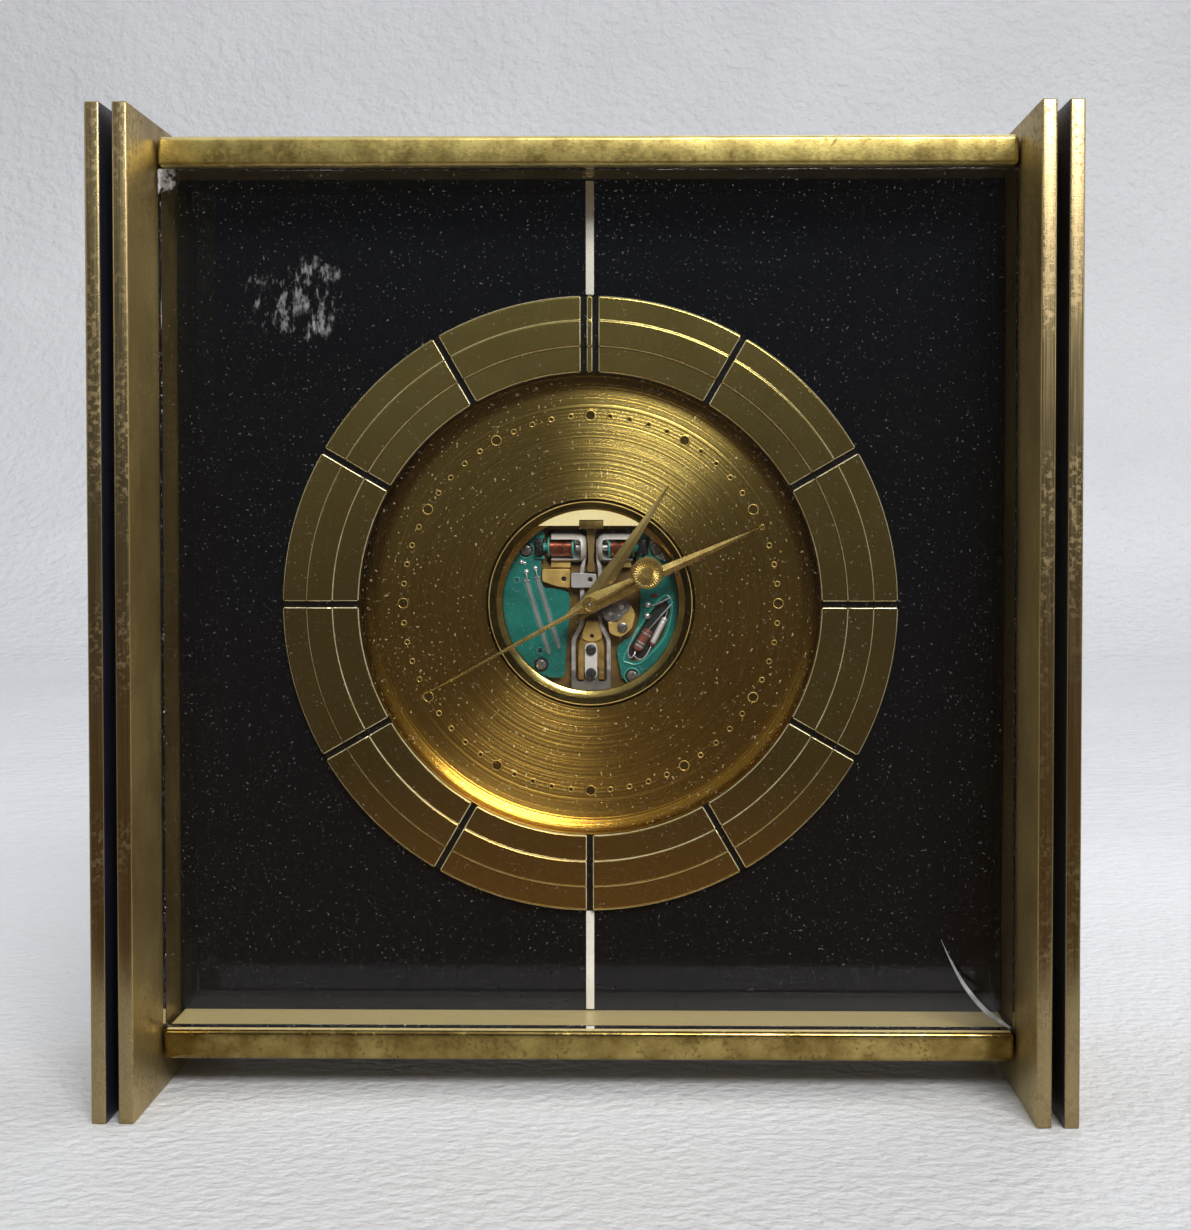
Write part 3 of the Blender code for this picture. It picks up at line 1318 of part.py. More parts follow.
def make_hands():
    lance(
        "hour_hand",
        RING_INNER - HOUR_HAND_GAP,
        HOUR_HAND_HALF_WIDTH,
        HOUR_HAND_LEVEL,
        HOUR_HAND_ANGLE,
        HOUR_PIPE + FINE,
        BRUSHED,
    )
    lance(
        "minute_hand",
        RING_INNER - MINUTE_HAND_GAP,
        MINUTE_HAND_HALF_WIDTH,
        MINUTE_HAND_LEVEL,
        MINUTE_HAND_ANGLE,
        CANNON_PIPE + FINE,
        BRASS,
    )
    level = SECONDS_HAND_LEVEL
    z = (level, level + HAND_THICKNESS)
    tail_end = -SECONDS_TAIL + SECONDS_DISC_RADIUS / 2
    tip = RING_INNER - SECONDS_HAND_GAP
    lower_edge = [(tail_end, -0.00035), (0, -0.00042), (tip, -0.0001)]
    needle = lower_edge + [(x, -y) for x, y in reversed(lower_edge)]
    hand = flat_plate("seconds_hand", [needle], z, BRASS, DIAL_AXIS, solid=True)
    hand.rotation_euler = (0, 0, math.radians(90 - SECONDS_HAND_ANGLE))
    disc_at = turned_from(HUB, -SECONDS_TAIL, 90 - SECONDS_HAND_ANGLE)
    disc_z = (level - SECONDS_DISC_PROUD, z[1] + SECONDS_DISC_PROUD)
    disc = rod("seconds_disc", SECONDS_DISC_RADIUS, disc_z, BRASS, DIAL_AXIS, disc_at, HATCH_STEPS)
    join(hand, disc)
    boss_z = (level - SECONDS_BOSS_DROP, z[1] + SECONDS_DISC_PROUD)
    join(hand, rod("seconds_boss", SECONDS_BOSS, boss_z, BRASS, DIAL_AXIS, sides=SMALL_STEPS))
    through = (boss_z[0] - OVERRUN, boss_z[1] + OVERRUN)
    bore = SECONDS_ARBOR_RADIUS + FINE
    cut(hand, rod("seconds_bore", bore, through, BRASS, DIAL_AXIS, sides=SCREW_STEPS))


# Round pieces are shaded smooth, so their corners are split to stay crisp.
def crisp_corners():
    for obj in CLOCK.objects:
        if obj.type == "MESH":
            corners = obj.modifiers.new("crisp corners", "EDGE_SPLIT")
            corners.split_angle = math.radians(SHARP_DEGREES)


make_side_plates()
make_studs()
make_bars()
make_glass_and_panels()
make_chapter_ring()
make_dial_disc()
make_aperture_ring()
make_can()
make_main_plate()
make_boards()
make_board_screws()
make_fork()
make_cups()
make_coils()
make_bridges()
make_pawl_bridge()
make_fork_mount()
make_train_plate()
make_electronics()
make_motion_work()
make_setting()
make_going_train()
make_battery()
make_hands()
crisp_corners()
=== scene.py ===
import json
import math

import bmesh
import bpy
import numpy as np
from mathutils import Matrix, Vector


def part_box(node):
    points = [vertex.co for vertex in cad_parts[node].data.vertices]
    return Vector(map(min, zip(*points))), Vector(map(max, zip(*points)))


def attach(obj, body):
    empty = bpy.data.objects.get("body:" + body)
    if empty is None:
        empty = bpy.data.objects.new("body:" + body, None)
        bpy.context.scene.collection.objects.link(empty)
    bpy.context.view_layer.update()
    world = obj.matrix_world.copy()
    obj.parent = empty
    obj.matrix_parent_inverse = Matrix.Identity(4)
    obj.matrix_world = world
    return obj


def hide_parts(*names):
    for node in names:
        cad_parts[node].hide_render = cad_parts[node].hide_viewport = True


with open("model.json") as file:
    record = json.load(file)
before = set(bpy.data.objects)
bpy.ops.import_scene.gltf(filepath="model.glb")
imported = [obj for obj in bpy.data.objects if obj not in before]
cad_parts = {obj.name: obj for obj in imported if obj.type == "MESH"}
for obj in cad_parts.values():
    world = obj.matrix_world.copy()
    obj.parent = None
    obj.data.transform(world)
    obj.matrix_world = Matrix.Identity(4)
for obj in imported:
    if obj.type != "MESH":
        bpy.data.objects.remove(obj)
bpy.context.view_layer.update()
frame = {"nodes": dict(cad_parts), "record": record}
nodes = frame["nodes"]
homes = {node: body for body, members in frame["record"]["behaviour"]["bodies"].items() for node in members}
mm = 0.001

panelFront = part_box("dial_panel")[0].y
ringLow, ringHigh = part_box("chapter_ring")
hubHeight = (ringLow.z + ringHigh.z) / 2
plateLevel = -6.4  # the main plate's front, forward from the dial panel's, in mm
print("frame loaded,", len(nodes), "nodes")


# Rows and columns of points become quads. A closed direction joins its last line to its first.
def gridFaces(rows, columns, closeRows, closeColumns):
    index = np.arange(rows * columns).reshape(rows, columns)
    if closeRows:
        index = np.vstack([index, index[:1]])
    if closeColumns:
        index = np.hstack([index, index[:, :1]])
    corners = [index[:-1, :-1], index[:-1, 1:], index[1:, 1:], index[1:, :-1]]
    return np.stack(corners, -1).reshape(-1, 4)


# A tube of sections whose two ends close, each in its own middle.
def closedEnds(grid):
    ends = grid[[0, -1]].mean(1, keepdims=True) + 0 * grid[[0, -1]]
    return np.concatenate([ends[:1], grid, ends[1:]]), False, True


# Several grids make one mesh, each (points, closeRows, closeColumns) in world metres.
def meshFrom(name, grids, sharp=35.0):
    points, faces, start = [], [], 0
    for grid, closeRows, closeColumns in grids:
        rows, columns = grid.shape[:2]
        points.append(grid.reshape(-1, 3))
        faces.append(gridFaces(rows, columns, closeRows, closeColumns) + start)
        start += rows * columns
    mesh = bpy.data.meshes.new(name)
    mesh.from_pydata(np.vstack(points).tolist(), [], np.vstack(faces).tolist())
    tidyMesh(mesh, sharp)
    return mesh


# Welds a mesh, turns its faces outwards and shades it smooth but for its sharp edges. The faces of a
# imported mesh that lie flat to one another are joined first.
def tidyMesh(mesh, sharp, flat=0.0):
    shape = bmesh.new()
    shape.from_mesh(mesh)
    bmesh.ops.remove_doubles(shape, verts=shape.verts, dist=1e-7)
    if flat > 0:
        bmesh.ops.dissolve_limit(shape, angle_limit=flat, verts=shape.verts, edges=shape.edges)
    bmesh.ops.recalc_face_normals(shape, faces=shape.faces)
    shape.to_mesh(mesh)
    shape.free()
    mesh.shade_smooth()
    mesh.set_sharp_from_angle(angle=math.radians(sharp))


# Cuts or joins whole meshes, and gives the result as a new mesh.
def carved(mesh, others, operation="DIFFERENCE", sharp=35.0):
    scene = bpy.context.scene.collection
    target = bpy.data.objects.new("carving", mesh)
    scene.objects.link(target)
    tools = []
    for other in others:
        tool = bpy.data.objects.new("tool", other)
        scene.objects.link(tool)
        step = target.modifiers.new("carve", "BOOLEAN")
        step.operation = operation
        step.solver = "EXACT"
        step.object = tool
        tools.append(tool)
    graph = bpy.context.evaluated_depsgraph_get()
    made = bpy.data.meshes.new_from_object(target.evaluated_get(graph))
    for extra in (target, *tools):
        bpy.data.objects.remove(extra)
    made.shade_smooth()
    made.set_sharp_from_angle(angle=math.radians(sharp))
    return made


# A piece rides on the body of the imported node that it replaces, and one that is only added on the case.
def placePiece(name, mesh, finish, node=None):
    mesh.materials.clear()
    piece = bpy.data.objects.new(name, mesh)
    bpy.context.scene.collection.objects.link(piece)
    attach(piece, homes.get(node, "case"))
    if node:
        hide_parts(node)
    mesh.materials.append(finishes[finish])
    return piece


def pieceFrom(name, grids, finish, node=None, sharp=35.0):
    return placePiece(name, meshFrom(name, grids, sharp), finish, node)


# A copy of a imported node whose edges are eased, so that they catch the light.
def easedCopy(node, width, finish, sharp=35.0):
    mesh = nodes[node].data.copy()
    mesh.name = node + "_eased"
    tidyMesh(mesh, sharp, flat=0.02)
    piece = placePiece(node + "_eased", mesh, finish, node)
    edge = piece.modifiers.new("eased edges", "BEVEL")
    edge.width = width
    edge.segments = 2
    edge.limit_method = "ANGLE"
    edge.angle_limit = math.radians(sharp)
    edge.harden_normals = False


# Dial places to world metres: (x, y, z) goes to (x, panelFront - z, hubHeight + y).
def onDial(x, y, z):
    x, y, z = np.broadcast_arrays(np.asarray(x, float), y, z)
    return np.stack([x, panelFront - z, hubHeight + y], -1)


# A place at radius r and angle t, clockwise from 12, in mm.
def aroundHub(r, t, z):
    return onDial(r * np.sin(t) * mm, r * np.cos(t) * mm, z * mm)


# Movement places are dial places with z from the main plate's front face.
def onMovement(x, y, z):
    return onDial(x, y, np.asarray(z, float) + plateLevel * mm)


# Each corner of a profile is replaced by a short curve: (1-t)^2 a + 2t(1-t) b + t^2 c.
def softProfile(profile, radius, closed=True, steps=3):
    p = np.asarray(profile, float)
    before, after = np.roll(p, 1, 0), np.roll(p, -1, 0)
    back = np.linalg.norm(before - p, axis=1, keepdims=True)
    ahead = np.linalg.norm(after - p, axis=1, keepdims=True)
    reach = np.minimum(radius, np.minimum(back, ahead) * 0.45)
    a, c = p + (before - p) * reach / back, p + (after - p) * reach / ahead
    t = np.linspace(0, 1, steps + 1)[None, :, None]
    curve = (1 - t) ** 2 * a[:, None] + 2 * t * (1 - t) * p[:, None] + t**2 * c[:, None]
    if not closed:
        return np.vstack([p[:1], curve[1:-1].reshape(-1, 2), p[-1:]])
    return curve.reshape(-1, 2)


# A profile of (radius, height) in mm turned about a dial axis: x = r sin t, y = r cos t, z = height.
# One that starts and ends on the axis is closed by its ends, and any other is a ring.
def turned(profile, at=(0, 0), steps=96, level=0.0):
    r, h = np.asarray(profile, float).T * mm
    t = np.linspace(0, 2 * math.pi, steps, endpoint=False)
    x = at[0] * mm + r[:, None] * np.sin(t)
    y = at[1] * mm + r[:, None] * np.cos(t)
    closed = r[0] > 0 or r[-1] > 0
    return onDial(x, y, np.broadcast_to(h[:, None] + level * mm, x.shape)), closed, True


# The same about an axis that lies in the dial's plane, at an angle from x: the axis d = (cos a, sin a),
# and a point stands at d * height + r cos t across it and r sin t forward.
def turnedAcross(profile, at, degrees, steps=64):
    r, h = np.asarray(profile, float).T * mm
    t = np.linspace(0, 2 * math.pi, steps, endpoint=False)
    a = math.radians(degrees)
    across, along = r[:, None] * np.cos(t), np.broadcast_to(h[:, None], (len(h), steps))
    x = at[0] * mm + along * math.cos(a) - across * math.sin(a)
    y = at[1] * mm + along * math.sin(a) + across * math.cos(a)
    return onMovement(x, y, at[2] * mm + r[:, None] * np.sin(t)), r[0] > 0 or r[-1] > 0, True


# A rounded rectangle carried along one axis. Near each end it draws in by R (1 - sin q) as it goes
# R (1 - cos q) along, and then closes to a point on the flat end.
def roundedBox(low, high, rounding, along=0, steps=3):
    low, high = np.array(low, float), np.array(high, float)
    b, c = [axis for axis in range(3) if axis != along]
    q = np.linspace(0, math.pi / 2, steps + 1)
    go, draw = rounding * (1 - np.cos(q)), rounding * (1 - np.sin(q))
    station = np.concatenate([[0], go, high[along] - low[along] - go[::-1], [high[along] - low[along]]])
    radius = np.concatenate([[0], rounding - draw, rounding - draw[::-1], [0]])
    t = np.concatenate([corner * math.pi / 2 + q for corner in range(4)])
    signB = np.repeat([1, -1, -1, 1], steps + 1)
    signC = np.repeat([1, 1, -1, -1], steps + 1)
    half = (high - low) / 2 - rounding
    inside = (np.arange(len(station)) > 0) & (np.arange(len(station)) < len(station) - 1)
    grid = np.zeros((len(station), len(t), 3))
    grid[..., along] = low[along] + station[:, None]
    grid[..., b] = (low[b] + high[b]) / 2 + inside[:, None] * (signB * half[b] + radius[:, None] * np.cos(t))
    grid[..., c] = (low[c] + high[c]) / 2 + inside[:, None] * (signC * half[c] + radius[:, None] * np.sin(t))
    return grid, False, True


# A box given in movement millimetres: x, y and z are (low, high) pairs.
def movementBox(x, y, z, rounding):
    corners = onMovement(np.array(x) * mm, np.array(y) * mm, np.array(z) * mm)
    return roundedBox(corners.min(0), corners.max(0), rounding * mm)


# A smooth path through points: the cubic of Catmull and Rom between each pair.
def smoothPath(points, perSpan=8, closed=False):
    p = np.asarray(points, float)
    p = np.vstack([p[-1:], p, p[:2]]) if closed else np.vstack([2 * p[0] - p[1], p, 2 * p[-1] - p[-2]])
    t = np.linspace(0, 1, perSpan, endpoint=False)[None, :, None]
    a, b, c, d = (p[i : len(p) - 3 + i][:, None] for i in range(4))
    curve = 0.5 * (2 * b + (c - a) * t + (2 * a - 5 * b + 4 * c - d) * t**2 + (3 * b - a - 3 * c + d) * t**3)
    curve = curve.reshape(-1, p.shape[1])
    return curve if closed else np.vstack([curve, p[-2:-1]])


# A round wire along a path of (x, y, z) in movement mm. Its section stands square to the path.
def wire(points, radius, sides=10, perSpan=8, closed=False, place=onMovement):
    path = smoothPath(points, perSpan, closed) * mm
    ahead = np.roll(path, -1, 0) - np.roll(path, 1, 0)
    if not closed:
        ahead[0], ahead[-1] = path[1] - path[0], path[-1] - path[-2]
    ahead /= np.linalg.norm(ahead, axis=1, keepdims=True)
    side = np.cross(ahead, (0, 0, 1.0))
    side /= np.linalg.norm(side, axis=1, keepdims=True)
    up = np.cross(side, ahead)
    t = np.linspace(0, 2 * math.pi, sides, endpoint=False)[None, :, None]
    thick = np.full(len(path), radius * mm)
    if not closed:
        path, side, up = (np.vstack([v[:1], v, v[-1:]]) for v in (path, side, up))
        thick = np.concatenate([[0], thick, [0]])
    ring = path[:, None] + thick[:, None, None] * (side[:, None] * np.cos(t) + up[:, None] * np.sin(t))
    return place(ring[..., 0], ring[..., 1], ring[..., 2]), closed, True


# A flat plate round a hole, in mm: spokes run from the hole's wall out to the outline, over the top
# and back below, with the outline drawn in by ease at its edges. A hole of radius 0 is a closed middle.
def flatPlate(outline, low, high, middle=(0, 0), hole=0.0, ease=0.08, corner=0.3, count=96):
    line = softProfile(outline, corner, steps=4)
    ends = np.vstack([line, line[:1]])
    gone = np.concatenate([[0], np.cumsum(np.linalg.norm(np.diff(ends, axis=0), axis=1))])
    s = np.linspace(0, gone[-1], count, endpoint=False)
    line = np.stack([np.interp(s, gone, ends[:, i]) for i in range(2)], -1)
    way = np.roll(line, -1, 0) - np.roll(line, 1, 0)
    way /= np.linalg.norm(way, axis=1, keepdims=True)
    x, y = line.T
    turn = np.sign(np.sum(x * np.roll(y, -1) - y * np.roll(x, -1)))
    inward = np.stack([-way[:, 1], way[:, 0]], -1) * turn
    middle = np.array(middle, float)
    spoke = line - middle
    rim = middle + hole * spoke / np.linalg.norm(spoke, axis=1, keepdims=True)
    drawn = line + inward * ease
    rows = [(rim, high), (drawn, high), (line, high - ease), (line, low + ease), (drawn, low), (rim, low)]
    grid = np.stack([np.column_stack([p, np.full(count, z)]) for p, z in rows]) * mm
    return onMovement(grid[..., 0], grid[..., 1], grid[..., 2]), hole > 0, True


def newFinish(name):
    finish = bpy.data.materials.new(name)
    finish.use_nodes = True
    return finish, finish.node_tree, finish.node_tree.nodes["Principled BSDF"]


def feed(tree, value, socket):
    if isinstance(value, bpy.types.NodeSocket):
        tree.links.new(value, socket)
    else:
        socket.default_value = value


def objectPlace(tree, scale=(1, 1, 1), turn=(0, 0, 0), move=(0, 0, 0)):
    coordinate = tree.nodes.new("ShaderNodeTexCoord")
    mapping = tree.nodes.new("ShaderNodeMapping")
    mapping.inputs["Location"].default_value = move
    mapping.inputs["Rotation"].default_value = turn
    mapping.inputs["Scale"].default_value = scale
    tree.links.new(coordinate.outputs["Object"], mapping.inputs["Vector"])
    return mapping.outputs["Vector"]


def noise(tree, place, scale, detail=3.0, rough=0.5):
    texture = tree.nodes.new("ShaderNodeTexNoise")
    tree.links.new(place, texture.inputs["Vector"])
    texture.inputs["Scale"].default_value = scale
    texture.inputs["Detail"].default_value = detail
    texture.inputs["Roughness"].default_value = rough
    return texture.outputs["Fac"]


def between(tree, value, low, high, newLow=0.0, newHigh=1.0):
    spread = tree.nodes.new("ShaderNodeMapRange")
    tree.links.new(value, spread.inputs["Value"])
    for key, number in (("From Min", low), ("From Max", high), ("To Min", newLow), ("To Max", newHigh)):
        spread.inputs[key].default_value = number
    return spread.outputs["Result"]


def sums(tree, operation, first, second=0.0, clamp=False):
    step = tree.nodes.new("ShaderNodeMath")
    step.operation = operation
    step.use_clamp = clamp
    feed(tree, first, step.inputs[0])
    feed(tree, second, step.inputs[1])
    return step.outputs[0]


def times(tree, first, second, clamp=False):
    return sums(tree, "MULTIPLY", first, second, clamp)


def plus(tree, first, second, clamp=False):
    return sums(tree, "ADD", first, second, clamp)


def vectors(tree, operation, first, second=(0, 0, 0)):
    step = tree.nodes.new("ShaderNodeVectorMath")
    step.operation = operation
    tree.links.new(first, step.inputs[0])
    step.inputs[1].default_value = second
    return step.outputs


def axes(tree, place):
    parts = tree.nodes.new("ShaderNodeSeparateXYZ")
    tree.links.new(place, parts.inputs[0])
    return parts.outputs


def mixed(tree, share, first, second, kind="RGBA"):
    mix = tree.nodes.new("ShaderNodeMix")
    mix.data_type = kind
    feed(tree, share, mix.inputs[0])
    sockets = [socket for socket in mix.inputs if socket.enabled and socket.name in ("A", "B")]
    for value, socket in zip((first, second), sockets):
        if kind == "RGBA" and not isinstance(value, bpy.types.NodeSocket):
            value = (*value, 1.0)
        feed(tree, value, socket)
    return [socket for socket in mix.outputs if socket.enabled][0]


def bumped(tree, height, strength, distance, before=None):
    bump = tree.nodes.new("ShaderNodeBump")
    bump.inputs["Strength"].default_value = strength
    bump.inputs["Distance"].default_value = distance
    tree.links.new(height, bump.inputs["Height"])
    if before is not None:
        tree.links.new(before, bump.inputs["Normal"])
    return bump.outputs["Normal"]


# Metal: two tones in soft patches, small tarnish spots, a grain drawn out along one axis and scratches.
# A zone changes tone, metal and roughness as the named axis goes from low to high.
def metalFinish(name, look):
    finish, tree, shader = newFinish(name)
    place = objectPlace(tree)
    patches = between(tree, noise(tree, place, look["patchScale"], 4.0, 0.6), 0.35, 0.65)
    colour = mixed(tree, patches, look["light"], look["dark"])
    region = between(tree, noise(tree, place, look["patchScale"] * 1.7, 2.0), *look["spotRegion"])
    dots = between(tree, noise(tree, place, look["spotScale"], 3.0, 0.6), *look["spotEdge"])
    spots = times(tree, region, dots, True)
    colour = mixed(tree, times(tree, spots, look["spotDepth"]), colour, look["spotColour"])
    grain = noise(tree, objectPlace(tree, look["grain"]), 1.0, 3.0, 0.6)
    colour = mixed(tree, between(tree, grain, 0.3, 0.75, 0.0, look["grainTone"]), colour, look["dark"])
    rough = between(tree, grain, 0.25, 0.75, look["rough"][0], look["rough"][1])
    metallic = look["metallic"]
    for zone in look.get("zones", ()):
        inside = between(tree, axes(tree, place)[zone["axis"]], zone["low"], zone["high"])
        colour = mixed(tree, times(tree, inside, zone.get("share", 1.0)), colour, zone["tone"])
        moreMetal = zone.get("metallic", look["metallic"]) - look["metallic"]
        metallic = plus(tree, metallic, times(tree, inside, moreMetal))
        rough = plus(tree, rough, times(tree, inside, zone.get("rough", 0.0)))
    tree.links.new(colour, shader.inputs["Base Color"])
    feed(tree, metallic, shader.inputs["Metallic"])
    rough = plus(tree, rough, times(tree, spots, 0.25), True)
    tree.links.new(rough, shader.inputs["Roughness"])
    scratches = noise(tree, objectPlace(tree, look["scratch"], (0.3, 0.5, 0.2)), 1.0, 2.0)
    height = plus(tree, grain, times(tree, scratches, 0.4))
    tree.links.new(bumped(tree, height, look["grainBump"], 0.00003), shader.inputs["Normal"])
    return finish


plainMetal = {
    "patchScale": 160, "spotRegion": (0.5, 0.7), "spotScale": 2600, "spotEdge": (0.62, 0.76),
    "spotDepth": 0.4, "spotColour": (0.16, 0.13, 0.09), "grain": (6000, 6000, 6000), "grainTone": 0.25,
    "rough": (0.34, 0.5), "scratch": (800, 6000, 6000), "grainBump": 0.2, "metallic": 0.8,
}


def metal(light, dark, **changes):
    return dict(plainMetal, light=light, dark=dark, **changes)


# Low and high are in mm from start.
def toneZone(axis, low, high, tone, start=0.0, **changes):
    return {"axis": axis, "low": start + low * mm, "high": start + high * mm, "tone": tone, **changes}


sideBrass = metal(
    (0.56, 0.42, 0.16), (0.27, 0.185, 0.06), patchScale=34, spotRegion=(0.42, 0.6), spotScale=1500,
    spotEdge=(0.5, 0.64), spotDepth=0.6, spotColour=(0.085, 0.055, 0.02), grain=(5000, 5000, 60),
    grainTone=0.5, rough=(0.28, 0.46), scratch=(400, 400, 6000), grainBump=0.35, metallic=0.85,
)
barMetal = metal(
    (0.64, 0.52, 0.17), (0.27, 0.20, 0.06), patchScale=210, spotRegion=(0.46, 0.62), spotScale=1300,
    spotEdge=(0.5, 0.62), spotDepth=0.6, spotColour=(0.13, 0.09, 0.025), grain=(1500, 3500, 3500),
    rough=(0.2, 0.34), scratch=(900, 900, 4000), metallic=0.9,
)
# The plates' front faces are polished, and their darker tone is painted reflection.
plateFront = toneZone("Y", -28.88, -28.97, (0.27, 0.21, 0.115), share=0.75, metallic=1.0, rough=-0.12)
gapBlack = (0.01, 0.011, 0.02)
leftGap = toneZone("X", -69.9, -69.8, gapBlack, metallic=0.0)
rightGap = toneZone("X", 69.9, 69.8, gapBlack, metallic=0.0)
# Painted highlights: the top bar turns pale gold along the upper and lower edges of its front.
topBarHighlightZones = [
    toneZone("Z", 145.95, 146.3, (0.80, 0.67, 0.28), share=0.6),
    toneZone("Z", 142.35, 142.1, (0.85, 0.72, 0.34), share=0.7),
]
# Painted light: the bottom bar's top face is pale gold and nearly matt.
bottomBarTopLight = [toneZone("Z", 9.62, 9.73, (0.66, 0.53, 0.24), share=0.9, metallic=0.1, rough=0.2)]
# Painted reflection: the chapter ring is darker towards the top and orange towards the bottom. Its slot
# floors are black.
ringZones = [
    toneZone("Z", 46, -2, (0.16, 0.125, 0.045), hubHeight, share=0.75),
    toneZone("Z", -25, -46, (0.46, 0.26, 0.06), hubHeight, share=0.8),
    toneZone("Y", -1.25, -1.1, (0.006, 0.005, 0.004), panelFront, metallic=0.0),
]
# Painted highlight: the hour hand turns lighter towards its tip.
hourTipHighlight = toneZone("Z", 9.0, 13.5, (0.60, 0.46, 0.17), hubHeight, share=0.9)
forkFoot = toneZone("Z", -10.6, -11.2, (0.12, 0.115, 0.11), hubHeight, share=0.8)
milled = (4200, 4200, 4200)

metalLooks = {
    "innerPlateBrass": dict(sideBrass, zones=[plateFront]),
    "leftPlateBrass": dict(sideBrass, zones=[plateFront, leftGap]),
    "rightPlateBrass": dict(sideBrass, zones=[plateFront, rightGap]),
    "canBrass": dict(
        sideBrass, patchScale=24, spotScale=1500, spotDepth=0.35, grain=(2600, 2600, 2600), grainTone=0.2,
    ),
    "topBarBrassPaintedHighlights": dict(barMetal, rough=(0.24, 0.38), zones=topBarHighlightZones),
    # The bottom bar is a darker, glossier copy of the bars' brass: its dark front is painted reflection.
    "bottomBarPaintedShading": dict(
        barMetal, light=(0.36, 0.27, 0.09), dark=(0.17, 0.11, 0.03), metallic=1.0, rough=(0.10, 0.2),
        zones=bottomBarTopLight,
    ),
    "barBrass": barMetal,
    "ringBrassPaintedReflection": metal(
        (0.56, 0.44, 0.13), (0.38, 0.285, 0.075), patchScale=26, spotScale=2100, spotRegion=(0.4, 0.7),
        spotEdge=(0.70, 0.78), spotDepth=0.4, spotColour=(0.75, 0.66, 0.4), grain=(2500, 2500, 2500),
        grainTone=0.2, rough=(0.15, 0.2), scratch=(300, 3000, 5000), grainBump=0.08, metallic=0.95,
        zones=ringZones,
    ),
    "gilt": metal((0.82, 0.58, 0.19), (0.46, 0.30, 0.08), patchScale=380, metallic=0.8),
    "blockGilt": metal((0.58, 0.39, 0.12), (0.26, 0.16, 0.045), patchScale=420, metallic=0.85),
    "bevelGilt": metal(
        (0.66, 0.51, 0.16), (0.40, 0.29, 0.08), patchScale=330, rough=(0.1, 0.2), metallic=1.0,
    ),
    # Painted highlight: a pale, bright brass for the chapter ring's edge beads.
    "edgeHighlightBrass": metal(
        (0.95, 0.88, 0.60), (0.62, 0.52, 0.24), patchScale=260, rough=(0.28, 0.42), metallic=0.6,
    ),
    # Painted shade: a dark gilt for the main plate, which lies in shade.
    "mainPlatePaintedShade": metal((0.30, 0.20, 0.06), (0.13, 0.08, 0.03), patchScale=300, grainTone=0.4),
    # Painted shade: a dark satin brass for the centre bridge.
    "satinBrassPaintedShade": metal((0.36, 0.26, 0.10), (0.20, 0.13, 0.05), patchScale=220, metallic=0.85),
    "handBrass": metal(
        (0.66, 0.49, 0.17), (0.36, 0.25, 0.07), patchScale=420, grain=milled, grainTone=0.5,
        rough=(0.22, 0.34), grainBump=0.25, metallic=0.9,
    ),
    "hourBrass": metal(
        (0.34, 0.26, 0.09), (0.20, 0.145, 0.045), patchScale=240, grain=milled, rough=(0.26, 0.4),
        grainBump=0.3, zones=[hourTipHighlight],
    ),
    # Painted shade: a darker brass for the head in the crescent's notch.
    "tulipBrassPaintedShade": metal((0.24, 0.17, 0.05), (0.11, 0.075, 0.02), patchScale=500, metallic=0.9),
    # Painted reflection: a pale, nearly matt gilt for the crescent.
    "crescentPaintedReflection": metal(
        (0.96, 0.84, 0.44), (0.90, 0.74, 0.34), patchScale=200, grain=(7000, 7000, 7000), grainTone=0.1,
        rough=(0.4, 0.5), metallic=0.25,
    ),
    # Painted shade: a dark brass for the aperture ring's lip.
    "lipPaintedShade": metal((0.26, 0.21, 0.07), (0.12, 0.09, 0.03), rough=(0.16, 0.24), metallic=0.95),
    # Painted shade: a dark brass for the discs on the dimples' floors.
    "dimplePaintedShade": metal((0.21, 0.145, 0.035), (0.12, 0.08, 0.02), rough=(0.2, 0.3), metallic=0.95),
    "forkSteel": metal(
        (0.74, 0.71, 0.67), (0.36, 0.33, 0.31), patchScale=620, metallic=0.75, zones=[forkFoot],
    ),
    "cockSteel": metal((0.36, 0.34, 0.33), (0.13, 0.125, 0.12), patchScale=900, rough=(0.3, 0.45)),
    "screwSteel": metal((0.34, 0.32, 0.29), (0.17, 0.16, 0.15), patchScale=700, rough=(0.24, 0.38)),
    "steel": metal((0.62, 0.60, 0.56), (0.42, 0.40, 0.38), metallic=0.7),
    "nickel": metal((0.92, 0.88, 0.82), (0.72, 0.68, 0.62), grain=(600, 9000, 9000), metallic=0.6),
    "hatchNickel": metal((0.80, 0.76, 0.70), (0.6, 0.56, 0.5), grain=(5000, 5000, 300), rough=(0.24, 0.4)),
    "darkSteel": metal((0.30, 0.29, 0.28), (0.15, 0.145, 0.14), patchScale=420, grain=(7000, 7000, 600)),
    "solder": metal((0.90, 0.91, 0.92), (0.66, 0.68, 0.69), patchScale=900, rough=(0.16, 0.3)),
    "blackSteel": metal(
        (0.035, 0.034, 0.034), (0.015, 0.015, 0.017), patchScale=60, spotDepth=0.3,
        spotColour=(0.08, 0.075, 0.07), grain=(2500, 2500, 2500), metallic=0.0,
    ),
}
finishes = {name: metalFinish(name, look) for name, look in metalLooks.items()}
print("metals made")


